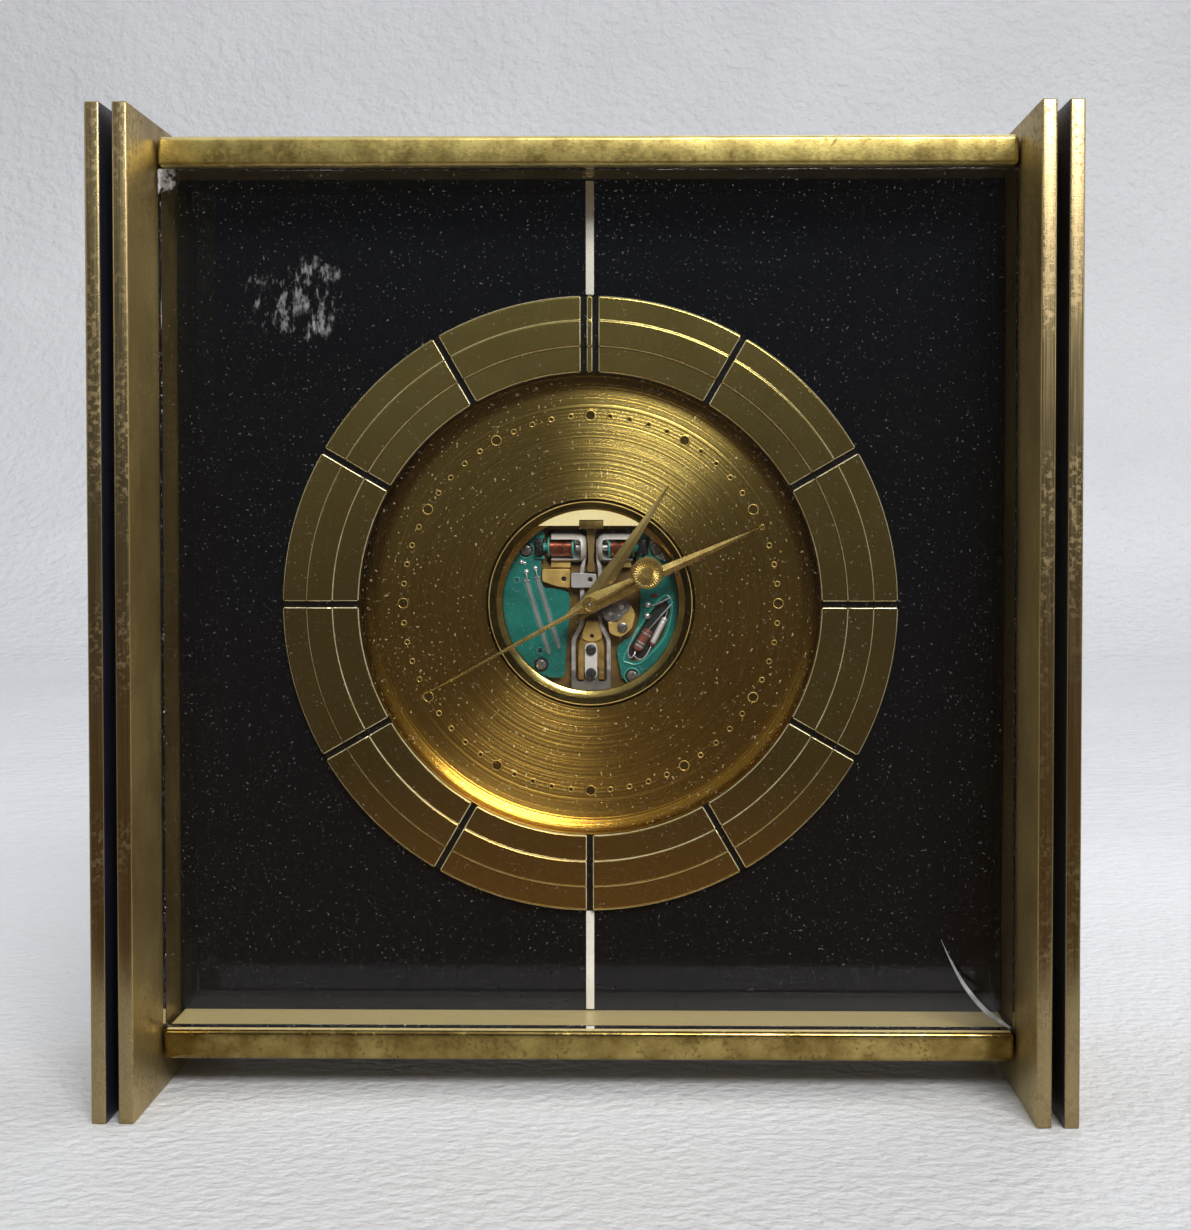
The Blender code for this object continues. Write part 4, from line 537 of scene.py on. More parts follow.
# Paint: a tone that drifts, a fine surface and pale dust specks.
def paintFinish(name, look):
    finish, tree, shader = newFinish(name)
    place = objectPlace(tree)
    drift = between(tree, noise(tree, place, look["driftScale"], 3.0), 0.3, 0.7)
    colour = mixed(tree, drift, look["light"], look["dark"])
    dust = between(tree, noise(tree, place, look["dustScale"], 1.0), *look["dustEdge"])
    dust = times(tree, dust, look["dustDepth"], True)
    tree.links.new(mixed(tree, dust, colour, look["dustColour"]), shader.inputs["Base Color"])
    fine = noise(tree, place, look["fineScale"], 2.0)
    rough = between(tree, fine, 0.3, 0.7, look["rough"][0], look["rough"][1])
    tree.links.new(plus(tree, rough, times(tree, dust, 0.5), True), shader.inputs["Roughness"])
    tree.links.new(bumped(tree, fine, look["bump"], 0.00003), shader.inputs["Normal"])
    shader.inputs["Specular IOR Level"].default_value = look.get("specular", 0.5)
    shader.inputs["Metallic"].default_value = look.get("metallic", 0.0)
    return finish


plainPaint = {
    "dustScale": 5200, "dustEdge": (0.68, 0.76), "dustDepth": 0.5, "fineScale": 5200, "rough": (0.24, 0.4),
    "bump": 0.15,
}


def paint(light, dark, **changes):
    return dict(plainPaint, light=light, dark=dark, **changes)


board = paint(
    (0.007, 0.155, 0.122), (0.004, 0.105, 0.085), driftScale=260, dustScale=3600,
    dustColour=(0.30, 0.42, 0.38),
)
cream = paint(
    (0.80, 0.77, 0.68), (0.66, 0.62, 0.52), driftScale=90, dustScale=2600, dustEdge=(0.66, 0.75),
    dustColour=(0.42, 0.38, 0.30), fineScale=3000, rough=(0.4, 0.55), bump=0.1,
)
ceramic = paint(
    (0.24, 0.075, 0.05), (0.13, 0.04, 0.03), driftScale=600, dustEdge=(0.66, 0.76), dustDepth=0.4,
    dustColour=(0.40, 0.30, 0.26), fineScale=6200, rough=(0.3, 0.45),
)
paintLooks = {
    "lacquer": paint(
        (0.0045, 0.005, 0.0065), (0.0035, 0.0035, 0.004), driftScale=14, dustScale=1300,
        dustEdge=(0.74, 0.82), dustDepth=0.06, dustColour=(0.30, 0.29, 0.27), fineScale=70,
        rough=(0.05, 0.07), bump=0.0, specular=0.22,
    ),
    "cream": cream,
    "board": board,
    "ceramic": ceramic,
    "copper": paint(
        (0.46, 0.17, 0.095), (0.13, 0.04, 0.025), driftScale=900, dustEdge=(0.68, 0.78), dustDepth=0.3,
        dustColour=(0.75, 0.5, 0.38), fineScale=6200, rough=(0.24, 0.36), metallic=0.85,
    ),
    "strap": dict(
        board, light=(0.20, 0.215, 0.20), dark=(0.14, 0.155, 0.145), dustColour=(0.45, 0.45, 0.42),
    ),
    "blackPlastic": dict(board, light=(0.012, 0.012, 0.012), dark=(0.006, 0.006, 0.007)),
    # Painted shade: a near-black for the board's holes, the recesses round its screws and the floor of its
    # recess.
    "recess": dict(board, light=(0.012, 0.03, 0.024), dark=(0.02, 0.012, 0.01)),
    "redPaint": dict(ceramic, light=(0.20, 0.02, 0.015), dark=(0.11, 0.015, 0.012)),
    "glassWear": dict(cream, light=(0.36, 0.36, 0.36), dark=(0.17, 0.175, 0.18), driftScale=420),
    "boardLight": dict(board, light=(0.05, 0.33, 0.26), dark=(0.03, 0.24, 0.19)),
}
for name, look in paintLooks.items():
    finishes[name] = paintFinish(name, look)
print("paints made")


# The dial's fine grooves run round it, so its gloss spreads along the radius, which is its tangent. Its
# tone is painted reflection, warmer towards the bottom, and its cove, from radius to radius, has tones of
# its
# own: painted shadow near the top and a painted bright orange reflection towards the bottom.
dialLook = {
    "high": (0.49, 0.375, 0.10), "low": (0.47, 0.27, 0.05), "dark": (0.27, 0.185, 0.045),
    "deep": (0.17, 0.11, 0.025), "cove": (0.54, 0.29, 0.04), "coveFrom": (33.3, 34.6), "grooves": 2300,
    "streaks": 900, "rough": (0.19, 0.29), "anisotropy": 0.9, "bump": 0.8, "speck": (0.95, 0.82, 0.45),
}


def dialFinish(look):
    finish, tree, shader = newFinish("dialBrass")
    place = objectPlace(tree, move=(0, -panelFront, -hubHeight))
    flat = vectors(tree, "MULTIPLY", place, (1, 0, 1))[0]
    radius = vectors(tree, "LENGTH", flat)["Value"]
    tree.links.new(flat, shader.inputs["Tangent"])
    rings = []
    for scale in (look["grooves"], look["streaks"]):
        line = tree.nodes.new("ShaderNodeTexNoise")
        line.noise_dimensions = "1D"
        line.inputs["Scale"].default_value = 1.0
        line.inputs["Detail"].default_value = 4.0
        tree.links.new(times(tree, radius, scale), line.inputs["W"])
        rings.append(line.outputs["Fac"])
    fine, wide = rings
    cloud = noise(tree, place, 38, 3.0)
    height = axes(tree, place)["Z"]
    # Painted reflection: the tone turns warmer and more orange towards the bottom.
    colour = mixed(tree, between(tree, height, -25 * mm, 15 * mm), look["low"], look["high"])
    colour = mixed(tree, between(tree, wide, 0.35, 0.7, 0.0, 0.4), colour, look["dark"])
    colour = mixed(tree, between(tree, fine, 0.35, 0.7, 0.0, 0.4), colour, look["deep"])
    colour = mixed(tree, between(tree, cloud, 0.45, 0.75, 0.0, 0.35), colour, look["deep"])
    # Painted shadow and reflection: the cove is dark near the top and bright orange below.
    cove = mixed(tree, between(tree, height, 4 * mm, -20 * mm), look["deep"], look["cove"])
    start, end = (edge * mm for edge in look["coveFrom"])
    colour = mixed(tree, between(tree, radius, start, end), colour, cove)
    specks = between(tree, noise(tree, place, 2000, 1.0), 0.675, 0.735, 0.0, 0.6)
    colour = mixed(tree, specks, colour, look["speck"])
    tree.links.new(colour, shader.inputs["Base Color"])
    tree.links.new(sums(tree, "SUBTRACT", 1.0, times(tree, specks, 0.7)), shader.inputs["Metallic"])
    shader.inputs["Anisotropic"].default_value = look["anisotropy"]
    tree.links.new(between(tree, fine, 0.3, 0.7, *look["rough"]), shader.inputs["Roughness"])
    tree.links.new(bumped(tree, fine, look["bump"], 0.00009), shader.inputs["Normal"])
    return finish


finishes["dialBrass"] = dialFinish(dialLook)


# Clear glass: it shows what is behind it, mirrors a little by Fresnel, and carries dust and smudges.
# A worn patch is a soft round region whose streaks stand out where the noise in it runs high.
glassLook = {
    "dust": 2500, "dustEdge": (0.688, 0.74), "dustDepth": 0.09, "smudge": 45, "smudgeEdge": (0.6, 0.85),
    "rough": 0.03, "mirror": 1.26, "front": 12.7,
    "patches": [
        {"at": (-44.5, 47.0), "reach": 7.0, "streak": (820, 820, 300), "edge": (0.50, 0.72), "depth": 0.30},
        {"at": (-64.6, 65.2), "reach": 2.3, "streak": (900, 900, 900), "edge": (0.38, 0.68), "depth": 0.32},
        {"at": (36.0, 52.0), "reach": 22.0, "streak": (30, 30, 400), "edge": (0.45, 0.8), "depth": 0.03},
    ],
}


def glassFinish(look):
    finish, tree, shader = newFinish("clearGlass")
    place = objectPlace(tree)
    ragged = noise(tree, place, 160, 4.0, 0.65)
    fresnel = tree.nodes.new("ShaderNodeFresnel")
    fresnel.inputs["IOR"].default_value = look["mirror"]
    dust = noise(tree, place, look["dust"], 1.0)
    veil = between(tree, dust, *look["dustEdge"], 0.0, look["dustDepth"])
    smudge = noise(tree, place, look["smudge"], 5.0, 0.7)
    veil = sums(tree, "MAXIMUM", veil, between(tree, smudge, *look["smudgeEdge"], 0.0, 0.02))
    for patch in look["patches"]:
        reach = patch["reach"] * mm
        middle = onDial(patch["at"][0] * mm, patch["at"][1] * mm, look["front"] * mm)
        away = vectors(tree, "DISTANCE", place, middle)["Value"]
        away = plus(tree, away, between(tree, ragged, 0.3, 0.7, -reach * 0.5, reach * 0.5))
        near = between(tree, away, reach, reach * 0.6)
        streaks = noise(tree, objectPlace(tree, patch["streak"], (0, 0.25, 0)), 1.0, 4.0, 0.65)
        worn = between(tree, streaks, *patch["edge"], 0.0, patch["depth"])
        veil = sums(tree, "MAXIMUM", veil, times(tree, near, worn))
    tree.links.new(mixed(tree, veil, (1, 1, 1), (0.75, 0.75, 0.73)), shader.inputs["Base Color"])
    tree.links.new(sums(tree, "MAXIMUM", fresnel.outputs[0], veil), shader.inputs["Alpha"])
    tree.links.new(between(tree, veil, 0.02, 0.1, 1.0, 0.0), shader.inputs["Metallic"])
    tree.links.new(between(tree, veil, 0.0, 0.3, look["rough"], 0.6), shader.inputs["Roughness"])
    return finish


finishes["clearGlass"] = glassFinish(glassLook)
print("dial and glass finishes made")


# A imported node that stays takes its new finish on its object's own slots.
def paintNode(node, finish):
    for slot in nodes[node].material_slots:
        slot.link = "OBJECT"
        slot.material = finishes[finish]


# The case.
case = {
    "plateRounding": 0.28 * mm, "barRounding": 0.75 * mm, "stripeRounding": 0.08 * mm,
    "glassEasing": 0.15 * mm,
}


def caseBlock(node, rounding, along, finish, steps=3):
    pieceFrom(node + "_finished", [roundedBox(*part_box(node), rounding, along, steps)], finish, node)


for side in ("left", "right"):
    for layer in ("outer", "inner"):
        finish = "innerPlateBrass" if layer == "inner" else side + "PlateBrass"
        caseBlock(f"side_plate_{layer}_{side}", case["plateRounding"], 2, finish)
    for place in ("bottom_front", "bottom_rear", "top_front", "top_rear"):
        paintNode(f"stud_{place}_{side}", "barBrass")
for bar, finish in (("top_bar", "topBarBrassPaintedHighlights"), ("bottom_bar", "bottomBarPaintedShading")):
    caseBlock(bar, case["barRounding"], 0, finish, steps=6)
for stripe in ("stripe_12", "stripe_6"):
    caseBlock(stripe, case["stripeRounding"], 2, "cream")
easedCopy("front_glass", case["glassEasing"], "clearGlass")


# A crack at the glass's corner: a thin curved sliver, widest two thirds of the way down.
crackLine = [(54.1, -50.7), (55.6, -54.0), (57.8, -57.9), (60.6, -61.3), (62.9, -63.1), (64.7, -64.3)]


def glassCrack():
    line = smoothPath(crackLine, 8)
    t = np.linspace(0, 1, len(line))[:, None]
    half = 0.03 + 0.62 * t**1.5 * np.clip(1.08 - t, 0, 1) * 2.4
    way = np.gradient(line, axis=0)
    side = np.stack([-way[:, 1], way[:, 0]], -1) / np.linalg.norm(way, axis=1, keepdims=True)
    outer, inner = side * half, side * half * 0.8
    front = glassLook["front"] + 0.02
    back = front - 0.03
    rows = [(line - outer, back), (line - inner, front), (line + inner, front), (line + outer, back)]
    grid = np.stack([np.column_stack([p, np.full(len(p), z)]) for p, z in rows], 1) * mm
    pieceFrom("glassCrack", [closedEnds(onDial(grid[..., 0], grid[..., 1], grid[..., 2]))], "glassWear")


glassCrack()
paintNode("dial_panel", "lacquer")
paintNode("rear_panel", "blackSteel")
print("case made")


# The chapter ring: radii and heights in mm, and half widths of its slots.
ring = {
    "radii": (36.67, 40.7, 44.9, 48.65), "low": 1.6, "high": 2.0, "back": 0.3, "slotHalf": 0.46,
    "slotFloor": 0.75, "twin": 0.93, "arcSteps": 44, "chamfer": 0.2, "slotEdge": 0.16, "easing": 0.12,
}


# A point at radius r beside a slot stands at angle hour + asin(d / r), with d its distance from the
# hour's line, so that a slot's walls run parallel. Between two slots the angle runs evenly.
def chapterRing():
    a, b, c, d = ring["radii"]
    low, high, back, e = ring["low"], ring["high"], ring["back"], ring["chamfer"]
    far = e + 0.3  # where a flat begins in earnest, so that its shading stays flat
    corners = [
        (a, back), (a, low - e), (a + e, low), (a + far, low), (b - 0.3, low), (b, low), (b, high - e),
        (b + e, high), (b + far, high), (c - far, high), (c - e, high), (c, high - e), (c, low),
        (c + 0.3, low), (d - far, low), (d - e, low), (d, low - e), (d, back),
    ]
    profile = softProfile(corners, ring["easing"], steps=4)
    r, h = profile[:, :1], profile[:, 1:]
    half, floor, sink = ring["slotHalf"], ring["slotFloor"], ring["slotEdge"]
    # The rounding of a slot's edge, as shares of the edge out from the wall and down.
    rounding = [(1.6, 0.0), (1.0, 0.0), (0.6, 0.11), (0.25, 0.42), (0.0, 1.0)]
    inSlot = [(-half - sink * out, sink * down, 99) for out, down in rounding]
    inSlot += [(-half, 0.0, floor), (half, 0.0, floor)]
    inSlot += [(half + sink * out, sink * down, 99) for out, down in rounding[::-1]]
    columns = []
    for hour in range(12):
        middles = (-ring["twin"], ring["twin"]) if hour == 0 else (0.0,)
        turn = hour * math.pi / 6
        for middle in middles:
            for offset, drop, most in inSlot:
                top = np.minimum(h - np.where(h > floor, drop, 0), most)
                columns.append((turn + np.arcsin((middle + offset) / r), top))
        nextEdge = -(half + 1.6 * sink) - (ring["twin"] if hour == 11 else 0)
        start = columns[-1][0]
        end = turn + math.pi / 6 + np.arcsin(nextEdge / r)
        for share in np.linspace(0, 1, ring["arcSteps"])[1:-1]:
            columns.append((start + (end - start) * share, h))
    t = np.hstack([angle for angle, _ in columns])
    z = np.hstack([np.broadcast_to(top, r.shape) for _, top in columns])
    grid = aroundHub(r, t, z)
    pieceFrom("chapterRing", [(grid, True, True)], "ringBrassPaintedReflection", "chapter_ring", sharp=38)


chapterRing()


# Painted highlights: a narrow pale bead along each slot's rim, its section six points wide, and a bead along
# each step, which is an arc of four-point sections between two slots. Both ends of a bead close.
def ringEdgeHighlights():
    a, b, c, d = ring["radii"]
    low, high, half = ring["low"], ring["high"], ring["slotHalf"]
    spans = ((a + 0.2, b), (b + 0.2, c - 0.2), (c, d - 0.2))
    r = np.concatenate([np.linspace(start, end, 6) for start, end in spans])[:, None]
    h = np.where((r > b) & (r < c), high, low)
    reach = np.array([0.02, 0.07, 0.12, 0.17, 0.17, 0.02])
    drop = np.array([0.085, 0.03, 0.002, -0.008, 0.03, 0.12])
    beads = []
    gaps = [(0.0, -ring["twin"]), (0.0, ring["twin"])] + [(hour * math.pi / 6, 0.0) for hour in range(1, 12)]
    for turn, middle in gaps:
        for side in (-1, 1):
            t = turn + np.arcsin((middle + side * (half + reach)) / r)
            beads.append(closedEnds(aroundHub(r, t, h - drop + 0.012)))
    sink = 0.055
    steps = [(c - sink, high - sink, 1), (d - sink, low - sink, 1)]
    steps += [(b + sink, high - sink, -1), (a + sink, low - sink, -1)]
    for (turn, middle), (nextTurn, nextMiddle) in zip(gaps, gaps[1:] + [(2 * math.pi, -ring["twin"])]):
        for radius, level, out in steps:
            start = turn + math.asin((middle + half + 0.2) / radius)
            end = nextTurn + math.asin((nextMiddle - half - 0.2) / radius)
            t = np.linspace(start, end, 30)[:, None]
            away = radius + out * np.array([-0.075, 0.012, 0.075, -0.03])
            up = level + np.array([0.075, 0.012, -0.075, -0.03])
            beads.append(closedEnds(aroundHub(away, t, up + 0 * t)))
    pieceFrom("ringEdgeHighlights", beads, "edgeHighlightBrass", sharp=60)


ringEdgeHighlights()
print("chapter ring made")


# The dial's dish, in mm: the dimples stand on one circle, and each is a cone in the floor.
dish = {
    "hole": 16.7, "flat": 33.5, "lip": 36.5, "outer": 38.2, "depth": 1.6, "back": -2.8, "dimpleCircle": 30.0,
    "hourDimple": 0.74, "minuteDimple": 0.35, "slope": 0.7, "rim": 0.035, "columns": 1800,
}


# The floor is flat out to the cove, a quarter ellipse: r = flat + (lip - flat) sin a, z = -depth cos a.
# A dimple takes slope * (radius - distance) off the floor, with a low rim round it.
def dialDish():
    hole, flat, lip, depth = dish["hole"], dish["flat"], dish["lip"], dish["depth"]
    circle, wide = dish["dimpleCircle"], dish["hourDimple"] + 0.16
    a = np.linspace(0, math.pi / 2, 9)
    cove = np.stack([flat + (lip - flat) * np.sin(a), -depth * np.cos(a)], -1)
    floor = np.array([hole + 0.06, 22.0, circle - wide - 0.4])
    band = np.linspace(circle - wide, circle + wide, 19)
    floorRows = np.concatenate([floor, band, [circle + wide + 0.6]])
    front = np.vstack([np.stack([floorRows, np.full(len(floorRows), -depth)], -1), cove])
    ends = [(dish["outer"], 0.0), (dish["outer"], dish["back"]), (hole, dish["back"]), (hole, -depth - 0.06)]
    profile = np.vstack([front, ends])
    t = np.linspace(0, 2 * math.pi, dish["columns"], endpoint=False)
    r, z = profile[:, :1], profile[:, 1:] + 0 * t
    minute = np.round(t / (math.pi / 30)).astype(int)
    off = t - minute * math.pi / 30
    size = np.where(minute % 5 == 0, dish["hourDimple"], dish["minuteDimple"])
    away = np.sqrt((r * np.cos(off) - circle) ** 2 + (r * np.sin(off)) ** 2)
    onFloor = (np.abs(profile[:, :1] - circle) <= wide + 0.01) & (profile[:, 1:] > -depth - 0.01)
    pit = dish["slope"] * np.clip(size - away, 0, None)
    rim = dish["rim"] * np.exp(-(((away - size) / 0.09) ** 2))
    z = np.where(onFloor, z - pit + rim, z)
    grid = aroundHub(r, t, z)
    pieceFrom("dialDish", [(grid, True, True)], "dialBrass", "dial_disc", sharp=30)


dialDish()


# Each dimple has a fine raised rim, its section given out from the edge and up, in a brighter gilt that is a
# painted highlight, and a dark disc on its floor that is painted shade.
dimpleRim = [(-0.02, -0.03), (-0.01, 0.03), (0.05, 0.05), (0.11, 0.02), (0.12, -0.03)]


def dialDimples():
    rims, shadeDiscs = [], []
    for minute in range(60):
        size = dish["hourDimple"] if minute % 5 == 0 else dish["minuteDimple"]
        a = minute * math.pi / 30
        at = (dish["dimpleCircle"] * math.sin(a), dish["dimpleCircle"] * math.cos(a))
        rims.append(turned([(size + out, up) for out, up in dimpleRim], at, 24, -dish["depth"]))
        within = size - 0.1
        well = [(0, -0.075), (within, -0.06), (within, -0.1), (0, -0.1)]
        shadeDiscs.append(turned(well, at, 24, -dish["depth"]))
    pieceFrom("dimpleRimHighlights", rims, "gilt", sharp=60)
    pieceFrom("dimpleShadeDiscs", shadeDiscs, "dimplePaintedShade")


dialDimples()
print("dial made")


# Its upper edge is the circle y = sqrt(r^2 - x^2), and its lower edge is level, with a square notch.
def crescent(radius, floor, top, notch, low, high):
    end = math.sqrt(radius**2 - floor**2)
    left, right = notch
    x = [np.linspace(-end, left, 20), np.linspace(left, right, 16) + 1e-3, np.linspace(right, end, 20)]
    x = np.concatenate(x)
    inNotch = np.zeros(len(x), bool)
    inNotch[20:36] = True
    below = np.where(inNotch, top, floor)
    above = np.maximum(np.sqrt(np.maximum(radius**2 - x**2, 0)), below)
    y = np.stack([below, below, above, above], -1)
    z = np.array([low, high, high, low])
    return onMovement(x[:, None] * mm, y * mm, z * mm), False, True


def apertureRing():
    lip = [
        (15.15, -4.6), (15.15, -2.75), (15.25, -2.2), (16.0, -1.5), (16.15, -1.33), (16.28, -1.33),
        (16.4, -1.5), (16.4, -3.1), (17.6, -3.1), (17.6, -3.8), (15.8, -3.8), (15.8, -4.6),
    ]
    edge = [(16.12, -1.38), (16.16, -1.3), (16.28, -1.3), (16.32, -1.38)]
    bevel = [(14.08, -4.6), (14.08, -3.05), (14.2, -2.93), (15.15, -2.64), (15.15, -4.6)]
    # The lip's dark brass is painted shade, and the thin gilt bead on its crest is a painted highlight.
    rings = [
        ("apertureLip", lip, 0.06, "lipPaintedShade", 40), ("apertureHighlightLine", edge, 0.03, "gilt", 60),
        ("apertureBevel", bevel, 0.05, "bevelGilt", 40),
    ]
    for name, profile, easing, finish, sharp in rings:
        pieceFrom(name, [turned(softProfile(profile, easing), steps=256)], finish, "aperture_ring", sharp)
    tulip = (-1.85, 2.05)
    # The crescent is a pale sheet set forward over the plate: painted reflection.
    bow = crescent(radius=14.95, floor=12.4, top=13.35, notch=tulip, low=3.45, high=3.86)
    pieceFrom("crescent", [bow], "crescentPaintedReflection")
    # The head in the crescent's notch is darkened: painted shade.
    pieceFrom("tulipHead", [movementBox(tulip, (11.9, 13.34), (2.5, 3.6), 0.05)], "tulipBrassPaintedShade")


apertureRing()
print("aperture ring made")


# The movement. Heights run forward from the main plate's front, in mm.
boardTop, movementEasing = 1.0, 0.07 * mm
screwSeats = {
    "upper_left": (-10.5, 8.4), "lower_left": (-8.1, -10.1), "upper_right": (10.6, 8.4),
    "lower_right": (6.6, -11.9),
}
stemAt, hatchAt = (3.331, -2.722), (-4.511, 6.624)

# The main plate's dark finish is painted shade.
nodeFinishes = {
    "circuit_board_left": "board", "circuit_board_right": "board", "main_plate": "mainPlatePaintedShade",
    "cannon_pinion": "gilt", "minute_wheel": "darkSteel", "hour_wheel": "darkSteel", "setting_stem": "steel",
    "seconds_arbor": "steel", "third_wheel": "gilt", "index_wheel": "steel", "train_bridge": "gilt",
    "battery_cell": "nickel",
}
for node, finish in nodeFinishes.items():
    paintNode(node, finish)
# The centre bridge's dark brass is painted shade.
easedNodes = {
    "tuning_fork": "forkSteel", "centre_bridge": "satinBrassPaintedShade", "upper_bridge": "gilt", "pawl_bridge": "steel",
    "fork_block": "blockGilt", "fork_clamp": "nickel", "train_plate": "gilt",
}
for node, finish in easedNodes.items():
    easedCopy(node, movementEasing, finish)

screws = {
    "board_screw_upper_left": (screwSeats["upper_left"], boardTop, 0.85, 30, "screwSteel"),
    "board_screw_lower_left": (screwSeats["lower_left"], boardTop, 0.85, 50, "screwSteel"),
    "board_screw_upper_right": (screwSeats["upper_right"], boardTop, 0.85, 110, "screwSteel"),
    "board_screw_lower_right": (screwSeats["lower_right"], boardTop, 0.85, 70, "screwSteel"),
    "fork_screw_upper": ((0.0, -7.6), 1.98, 0.85, 15, "blackSteel"),
    "fork_screw_lower": ((0.0, -11.4), 1.98, 0.85, 80, "blackSteel"),
    "train_plate_screw": ((5.1, -3.9), 3.05, 0.8, 20, "screwSteel"),
}


# A low-domed head: height = top - bulge (r / R)^2, with an eased rim, a plain shank and a driver slot.
def slottedScrew(node, at, seat, radius, degrees, finish, head=0.45, slotDepth=0.28, bulge=0.08):
    seat += 0.08
    top = seat + head
    r = np.linspace(0, radius - 0.1, 6)
    dome = np.stack([r, top - bulge * (r / radius) ** 2], -1)
    edge = [(radius - 0.03, top - bulge - 0.03), (radius, top - bulge - 0.1), (radius, seat)]
    shank = [(0.4, seat), (0.4, 0.1), (0, 0.1)]
    whole = meshFrom(node + "_head", [turned(np.vstack([dome, edge, shank]), at, 48, plateLevel)])
    slotShare, past = 0.17, 0.5
    half, reach, a = radius * slotShare, radius + past, math.radians(degrees)
    s, w = np.array([-reach, reach])[:, None], np.array([-half, half, half, -half])
    x = at[0] + s * math.cos(a) - w * math.sin(a)
    y = at[1] + s * math.sin(a) + w * math.cos(a)
    z = top + np.array([-slotDepth, -slotDepth, past, past]) + 0 * s
    mesh = carved(whole, [meshFrom("driverSlot", [closedEnds(onMovement(x * mm, y * mm, z * mm))])])
    placePiece(node + "_slotted", mesh, finish, node)


for node, screw in screws.items():
    slottedScrew(node, *screw)
print("screws made")


# Each cup is a thimble open outwards, with a window in its front and a magnet on its axis.
cups = {
    "axis": (8.9, 0.9), "innerEnds": {"left": -0.75, "right": 1.0}, "radius": 2.3, "wall": 0.45,
    "length": 5.7, "end": 0.75, "window": (6.9, 10.2),
}


def magnetCups():
    radius, length, end = cups["radius"], cups["length"], cups["end"]
    bore = radius - cups["wall"]
    body = [
        (0, end), (bore - 0.4, end), (bore, end + 0.4), (bore, length - 0.1), (bore + 0.1, length),
        (radius - 0.1, length), (radius, length - 0.1), (radius, 0.9), (radius - 0.25, 0.35),
        (radius - 0.75, 0.05), (0, 0),
    ]
    magnet = [(0, end - 0.1), (0.62, end - 0.1), (0.62, 1.68), (0.5, 1.78), (0, 1.78)]
    for side, sign, degrees in (("left", -1, 180), ("right", 1, 0)):
        innerEnd = cups["innerEnds"][side]
        at = (innerEnd, *cups["axis"])
        shell = meshFrom("cupShell", [turnedAcross(softProfile(body, 0.12, closed=False), at, degrees, 96)])
        x = sorted((innerEnd + sign * 0.85, innerEnd + sign * (length + 1)))
        window = meshFrom("cupWindow", [movementBox(x, cups["window"], (0.98, 4.2), 0.5)])
        placePiece(f"magnet_cup_{side}_finished", carved(shell, [window]), "nickel", f"magnet_cup_{side}")
        pieceFrom(f"magnet_{side}", [turnedAcross(magnet, at, degrees, 48)], "steel")


magnetCups()
print("cups made")


# The winding is a drum whose radius ripples with its turns: r = R + depth |sin(pi turns u)|.
coils = {
    "start": 2.8, "end": 6.7, "radius": 1.42, "ripple": 0.05, "turns": 25, "flange": 1.66,
    "flangeWidth": 0.3,
}


def driveCoils():
    first, last, turns = coils["start"] + coils["flangeWidth"], coils["end"], coils["turns"]
    u = np.linspace(0, 1, turns * 6 + 1)
    ripple = coils["ripple"] * np.abs(np.sin(math.pi * turns * u))
    drum = np.stack([coils["radius"] + ripple, first + (last - first) * u], -1)
    winding = np.vstack([[(0, first)], drum, [(0, last)]])
    at = (0, *cups["axis"])
    for side, sign, degrees in (("left", -1, 180), ("right", 1, 0)):
        node = f"drive_coil_{side}"
        pieceFrom(node + "_winding", [turnedAcross(winding, at, degrees, 48)], "copper", node, sharp=60)
        bobbin = []
        for start in (coils["start"], last):
            edge = start + coils["flangeWidth"]
            profile = [(0, start), (coils["flange"], start), (coils["flange"], edge), (0, edge)]
            bobbin.append(turnedAcross(softProfile(profile, 0.06, closed=False), at, degrees, 48))
        neck = [(0, last), (0.75, last), (0.75, 7.8), (0, 7.8)]
        bobbin.append(turnedAcross(neck, at, degrees, 32))
        pieceFrom(node + "_bobbin", bobbin, "boardLight", node)
        x = sorted((sign * 7.7, sign * 8.9))
        terminal = movementBox(x, (7.6, 10.2), (0.08, 2.2), 0.12)
        pieceFrom(node + "_terminal", [terminal], "blackPlastic", node)


driveCoils()
print("coils made")


# Each of the small parts in the right board's recess lies along its own axis. A lead is a path of
# points and a radius.
leads = [
    ([(9.35, -4.35, 0.95), (10.1, -3.5, 1.25), (11.4, -2.0, 1.3), (12.6, -0.7, 1.1),
      (13.2, 0.0, 0.95)], 0.13),
    ([(7.15, -7.9, 0.95), (6.9, -8.5, 1.1), (6.4, -8.95, 1.2), (5.95, -8.45, 1.2), (6.1, -7.2, 1.15),
      (6.6, -5.9, 1.1), (7.2, -4.7, 1.1), (7.7, -4.05, 1.0)], 0.13),
    ([(9.75, -6.9, 0.6), (9.3, -7.9, 0.8), (8.7, -8.8, 0.95), (8.0, -9.3, 1.0), (7.3, -9.0, 1.0),
      (7.0, -8.6, 0.9)], 0.12),
    ([(9.2, -0.45, 1.2), (10.2, -0.4, 1.4), (11.4, 0.1, 1.4), (12.9, 0.85, 1.2)], 0.13),
    ([(11.95, -2.5, 0.6), (12.15, -2.0, 0.8), (12.35, -1.3, 0.9)], 0.11),
]


